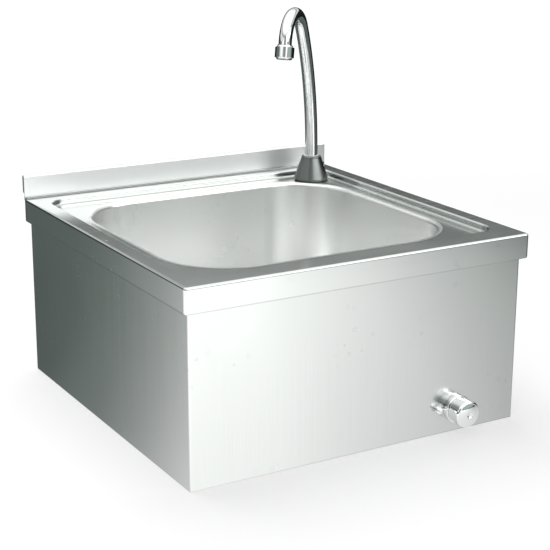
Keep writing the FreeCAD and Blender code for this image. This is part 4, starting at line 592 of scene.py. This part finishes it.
def draw_outline(points):
    """An open chain of edges through points given as (radius, height) in millimetres."""
    corners = [Vector((radius * MM, 0, height * MM)) for radius, height in points]
    bpy.ops.object.select_all(action="DESELECT")
    bpy.ops.mesh.primitive_plane_add(size=MM, location=(0, 0, 0))
    bpy.ops.object.mode_set(mode="EDIT")
    bpy.ops.mesh.select_all(action="SELECT")
    bpy.ops.mesh.merge(type="CENTER")
    bpy.ops.transform.translate(value=corners[0])
    for before, after in zip(corners, corners[1:]):
        bpy.ops.mesh.extrude_region_move(TRANSFORM_OT_translate={"value": after - before})
    bpy.ops.object.mode_set(mode="OBJECT")
    return bpy.context.object


def turned(points, steps=64):
    """A turned solid: a closed outline, in (radius, height) millimetres, spun about +Z."""
    piece = draw_outline(list(points) + [points[0]])
    bpy.ops.object.mode_set(mode="EDIT")
    bpy.ops.mesh.select_all(action="SELECT")
    bpy.ops.mesh.remove_doubles(threshold=SAME_SPOT)
    bpy.ops.mesh.select_all(action="SELECT")
    bpy.ops.mesh.spin(steps=steps, angle=2 * math.pi, center=(0, 0, 0), axis=(0, 0, 1))
    bpy.ops.mesh.select_all(action="SELECT")
    bpy.ops.mesh.remove_doubles(threshold=SAME_SPOT)
    bpy.ops.mesh.normals_make_consistent(inside=False)
    bpy.ops.object.mode_set(mode="OBJECT")
    return piece


def combine(piece, tool, how="DIFFERENCE"):
    """Cut with a solid tool, or keep only what both share. The tool is used up."""
    alone(piece)
    bpy.ops.object.modifier_add(type="BOOLEAN")
    cut = piece.modifiers[-1]
    cut.operation = how
    cut.solver = "EXACT"
    cut.object = tool
    bpy.ops.object.modifier_apply(modifier=cut.name)
    bpy.data.objects.remove(tool)
    return piece


def threaded_rod(radius, length, pitch, depth, steps=48):
    """A rod from the origin up, with a right-hand screw thread. Sizes in millimetres."""
    valley = radius - depth
    outline = []
    height = -2.03 * pitch
    while height < length + pitch:
        outline += [(valley, height), (valley, height + 0.12 * pitch),
                    (radius, height + 0.44 * pitch), (radius, height + 0.68 * pitch)]
        height += pitch
    rod = draw_outline(outline)
    bpy.ops.object.modifier_add(type="SCREW")
    climb = rod.modifiers[-1]
    climb.screw_offset = pitch * MM
    climb.steps = steps
    climb.render_steps = steps
    bpy.ops.object.modifier_apply(modifier=climb.name)
    bpy.ops.object.mode_set(mode="EDIT")
    bpy.ops.mesh.select_all(action="SELECT")
    bpy.ops.mesh.remove_doubles(threshold=SAME_SPOT)
    for level, upward in ((0, -1), (length * MM, 1)):
        bpy.ops.mesh.select_all(action="SELECT")
        bpy.ops.mesh.bisect(plane_co=(0, 0, level), plane_no=(0, 0, upward), use_fill=True,
                            clear_outer=True, threshold=SAME_SPOT / 10)
    bpy.ops.mesh.select_all(action="SELECT")
    bpy.ops.mesh.normals_make_consistent(inside=False)
    bpy.ops.object.mode_set(mode="OBJECT")
    return rod


def drill(radius, low, high, sides=48):
    """A plain round tool along +Z, for a bore."""
    bpy.ops.object.select_all(action="DESELECT")
    bpy.ops.mesh.primitive_cylinder_add(
        vertices=sides, radius=radius * MM, depth=(high - low) * MM,
        location=(0, 0, (low + high) / 2 * MM))
    return bpy.context.object


def hexagon(across_flats, length, bore):
    """A hexagon from the origin up, corners along X, both ends turned off at 30 degrees."""
    bpy.ops.object.select_all(action="DESELECT")
    bpy.ops.mesh.primitive_cylinder_add(
        vertices=6, radius=across_flats / math.sqrt(3) * MM, depth=length * MM,
        location=(0, 0, length / 2 * MM), rotation=(0, 0, math.radians(30)))
    piece = bpy.context.object
    bpy.ops.object.transform_apply(location=True, rotation=True, scale=True)
    slope = math.sqrt(3)
    face = FACE_SHARE * across_flats / 2
    wide = face + slope * (length + BEYOND)
    narrow = face - slope * CLEAR
    for turn, middle in ((0, (length - BEYOND + CLEAR) / 2),
                         (math.pi, (length + BEYOND - CLEAR) / 2)):
        bpy.ops.object.select_all(action="DESELECT")
        bpy.ops.mesh.primitive_cone_add(
            vertices=CONE_SIDES, radius1=wide * MM, radius2=narrow * MM,
            depth=(length + BEYOND + CLEAR) * MM, location=(0, 0, middle * MM),
            rotation=(turn, 0, 0))
        combine(piece, bpy.context.object, "INTERSECT")
    return combine(piece, drill(bore, -BEYOND, length + BEYOND))


UPRIGHT = (0, 0, 0)
UPSIDE_DOWN = (math.pi, 0, 0)
TO_THE_WALL = (math.radians(-90), 0, 0)
TO_THE_RIGHT = (0, math.radians(90), 0)
TO_THE_LEFT = (0, math.radians(-90), 0)


def lay(piece, spot, turn=UPRIGHT):
    """Turn an upright piece and carry it to a spot in millimetres."""
    piece.rotation_euler = turn
    piece.location = [at * MM for at in spot]
    alone(piece)
    bpy.ops.object.transform_apply(location=True, rotation=True, scale=True)
    return piece


def copies(piece, spots, turn=UPRIGHT):
    """The same piece at each spot, each with a mesh of its own."""
    laid = []
    for number, spot in enumerate(spots):
        twin = piece if number == 0 else piece.copy()
        if number:
            twin.data = piece.data.copy()
            bpy.context.scene.collection.objects.link(twin)
        laid.append(twin)
    return [lay(twin, spot, turn) for twin, spot in zip(laid, spots)]


def fit(pieces, name, body, slot, replaced):
    """Join the pieces under one name, shade them and let them ride on their body, in the
    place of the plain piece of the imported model."""
    alone(pieces[0])
    for piece in pieces:
        piece.select_set(True)
    if len(pieces) > 1:
        bpy.ops.object.join()
    joined = pieces[0]
    joined.name = name
    joined.data.name = name
    alone(joined)
    bpy.ops.object.transform_apply(location=True, rotation=True, scale=True)
    bpy.ops.object.shade_smooth_by_angle(angle=SMOOTH_BELOW)
    joined.data.materials.clear()
    joined.data.materials.append(FINISH[slot])
    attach(joined, body)
    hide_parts(replaced)
    print(name, len(joined.data.polygons), "faces")
    return joined


# %% [markdown]
# ## Nuts
#
# Every nut is a hexagon with its corners turned off at 30 degrees, so that a spanner slides
# on and the nut bears on a round face. The backnut that pulls the tap down under the worktop
# is a thin one of 30 mm. The two riser nuts are of 21 mm, with a wide tapped mouth and a
# small hole for the tube behind it. The worktop is held by eight M5 nuts on welded studs,
# and the rail and the brace by six more.

# %% Nuts
TAP_AXIS = (174, -53)
STUDS = [(side * 199.5, back) for side in (-1, 1) for back in (-369, -234, -99)]
STUDS += [(-150, -413), (150, -413)]
RAIL_HOLES = [(side * 207.5, height) for side in (-1, 1) for height in (20, -16, -170)]

BACKNUT = (30, 7, 11)  # across flats, height, bore radius
BACKNUT_FOOT = 22
M5_NUT = (8, 4, 2.5)
STUD_NUT_FOOT = 26.3
RAIL_NUT_FRONT = -11.2
RISER_NUT = (21, 11, 5.1)
RISER_MOUTH_RADIUS, RISER_MOUTH_DEPTH = 8.3, 8
VALVE_PORT = (132.6, -383.8, -160.1)
HIGH_NUT_TOP = -16

backnut = lay(hexagon(*BACKNUT), (*TAP_AXIS, BACKNUT_FOOT))
fit([backnut], "backnut_chamfered", "sink", "brass_bare", "tap_backnut")

riser_nut = combine(
    hexagon(*RISER_NUT), drill(RISER_MOUTH_RADIUS, -BEYOND, RISER_MOUTH_DEPTH))
riser_pair = copies(riser_nut, [(0, 0, 0), (0, 0, 0)])
lay(riser_pair[0], VALVE_PORT, TO_THE_WALL)
fit([riser_pair[0]], "riser_nut_low_chamfered", "sink", "brass_bare", "riser_nut_valve")
lay(riser_pair[1], (*TAP_AXIS, HIGH_NUT_TOP), UPSIDE_DOWN)
fit([riser_pair[1]], "riser_nut_high_chamfered", "sink", "brass_bare", "riser_nut_tap")

stud_nuts = copies(hexagon(*M5_NUT), [(*spot, STUD_NUT_FOOT) for spot in STUDS])
fit(stud_nuts, "stud_nuts_chamfered", "sink", "zinc_plated", "stud_nuts")
rail_nuts = copies(
    hexagon(*M5_NUT), [(x, RAIL_NUT_FRONT, z) for x, z in RAIL_HOLES], TO_THE_WALL)
fit(rail_nuts, "rail_nuts_chamfered", "sink", "zinc_plated", "rail_nuts")

# %% [markdown]
# ## Studs and rail screws
#
# The studs are M5, welded under the worktop's folded edge, and the rail screws are M5 pan
# heads with a cross recess. The cross is two tapered bars, cut into the head one after the
# other. Both have a rolled thread of 0.8 mm pitch.

# %% Studs and rail screws
M5_RADIUS, M5_PITCH, M5_DEPTH = 2.5, 0.8, 0.49
M5_STEPS = 32
STUD_LENGTH, STUD_FOOT = 12, 20.5
SCREW_SHANK = 8.8
HEAD_SEAT = -4.0
PAN_HEAD = ((0.0, 0.0), (4.5, 0.0), (4.5, 1.25), (4.3, 1.55), (3.75, 1.87), (3.0, 2.3),
            (2.0, 2.58), (1.0, 2.67), (0.0, 2.7))
BAR_TIP, BAR_TOP, BAR_DEPTH, BAR_MIDDLE = 0.4, 3.0, 2.2, 2.1
BAR_WIDTH_SHARE = 0.28

stud = threaded_rod(M5_RADIUS, STUD_LENGTH, M5_PITCH, M5_DEPTH, M5_STEPS)
fit(copies(stud, [(*spot, STUD_FOOT) for spot in STUDS]), "studs_threaded", "sink",
    "zinc_plated", "weld_studs")

head = turned(PAN_HEAD, steps=48)
for narrowed in ((1, BAR_WIDTH_SHARE, 1), (BAR_WIDTH_SHARE, 1, 1)):
    bpy.ops.object.select_all(action="DESELECT")
    bpy.ops.mesh.primitive_cone_add(
        vertices=4, radius1=BAR_TIP * MM, radius2=BAR_TOP * MM, depth=BAR_DEPTH * MM,
        location=(0, 0, BAR_MIDDLE * MM), rotation=(0, 0, math.radians(45)))
    bar = bpy.context.object
    bpy.ops.object.transform_apply(location=True, rotation=True, scale=True)
    bar.scale = narrowed
    combine(head, bar)
shank = threaded_rod(M5_RADIUS, SCREW_SHANK, M5_PITCH, M5_DEPTH, M5_STEPS)
lay(shank, (0, 0, CLEAR - SCREW_SHANK))
alone(head)
shank.select_set(True)
bpy.ops.object.join()
screws = copies(head, [(x, HEAD_SEAT, z) for x, z in RAIL_HOLES], TO_THE_WALL)
fit(screws, "rail_screws_recessed", "sink", "zinc_plated", "rail_screws")

# %% [markdown]
# ## Threads of the plumbing
#
# The waste ends in a coarse G 1 1/2 thread for the trap, moulded in the plastic, with a
# pitch of 2.31 mm. The valve's two nipples have G 1/2 threads of 1.81 mm for the hoses, each
# behind a hexagon of 22 mm. The tap's shank has a fine M22 thread of 1.5 mm for the backnut
# and a G 3/8 tail of 1.34 mm for the riser. Shank and waste keep their shape above the
# thread: their plain cylinder is drawn in to the depth of the thread and a threaded sleeve
# goes over it.

# %% Threads of the plumbing
def sleeve(radius, length, pitch, depth, bore, steps=48):
    """A short tube from the origin up, threaded outside."""
    return combine(threaded_rod(radius, length, pitch, depth, steps),
                   drill(bore, -BEYOND, length + BEYOND))


SAME_RADIUS = 0.06


def drawn_in(node, middle, changes):
    """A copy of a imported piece, with the points on given cylinders about the upright axis
    through the middle drawn in. Changes are (old radius, new radius, low, high) in mm."""
    twin = bpy.data.objects.new(node + "_copy", nodes[node].data.copy())
    bpy.context.scene.collection.objects.link(twin)
    alone(twin)
    bpy.ops.mesh.customdata_custom_splitnormals_clear()
    bpy.ops.object.mode_set(mode="EDIT")
    bpy.ops.mesh.select_all(action="SELECT")
    bpy.ops.mesh.remove_doubles(threshold=SAME_SPOT)
    bpy.ops.object.mode_set(mode="OBJECT")
    for point in twin.data.vertices:
        out = Vector((point.co.x / MM - middle[0], point.co.y / MM - middle[1]))
        height = point.co.z / MM
        for old, new, low, high in changes:
            if abs(out.length - old) < SAME_RADIUS and low <= height <= high:
                out *= new / out.length
                point.co.x = (middle[0] + out.x) * MM
                point.co.y = (middle[1] + out.y) * MM
                break
    return twin


BOWL_AXIS = (0, -221)
waste = drawn_in("waste_body", BOWL_AXIS, [(23.9, 22.3, -171.6, -143.4)])
waste_thread = lay(sleeve(23.9, 27.0, 2.309, 1.48, 22.0, steps=72), (*BOWL_AXIS, -171.5))
fit([waste, waste_thread], "waste_body_threaded", "sink", "polypropylene_white", "waste_body")

shank = drawn_in("tap_shank", TAP_AXIS, [
    (11.0, 10.0, -12.1, 35.3), (8.3, 7.3, -24.1, -11.9)])
shank_thread = lay(sleeve(11.0, 45.0, 1.5, 0.92, 9.8), (*TAP_AXIS, -12.0))
tail_thread = lay(sleeve(8.3, 12.0, 1.337, 0.85, 7.1), (*TAP_AXIS, -24.0))
fit([shank, shank_thread, tail_thread], "tap_shank_threaded", "sink", "brass_bare", "tap_shank")

INLET_Y, INLET_Z = -403.8, -160.1
NIPPLE_FLATS, NIPPLE_HEIGHT, NIPPLE_BORE = 22, 6, 6
for name, start, turn, node in (("hot", 106.6, TO_THE_LEFT, "hot_inlet"),
                                ("cold", 158.6, TO_THE_RIGHT, "cold_inlet")):
    spanner_flats = hexagon(NIPPLE_FLATS, NIPPLE_HEIGHT, NIPPLE_BORE)
    thread = lay(sleeve(10.45, 12, 1.814, 1.16, NIPPLE_BORE), (0, 0, NIPPLE_HEIGHT))
    alone(spanner_flats)
    thread.select_set(True)
    bpy.ops.object.join()
    nipple = lay(spanner_flats, (start, INLET_Y, INLET_Z), turn)
    fit([nipple], name + "_nipple_threaded", "sink", "brass_bare", node)

# %% [markdown]
# ## Return spring
#
# Behind the button's piston a steel spring is pressed together as the button goes in. Here
# the wound spring is a copy of the imported one, unchanged in shape.

# %% Return spring
spring = drawn_in("return_spring", TAP_AXIS, [])
fit([spring], "return_spring_wound", "sink", "stainless_plain", "return_spring")
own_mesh(spring)
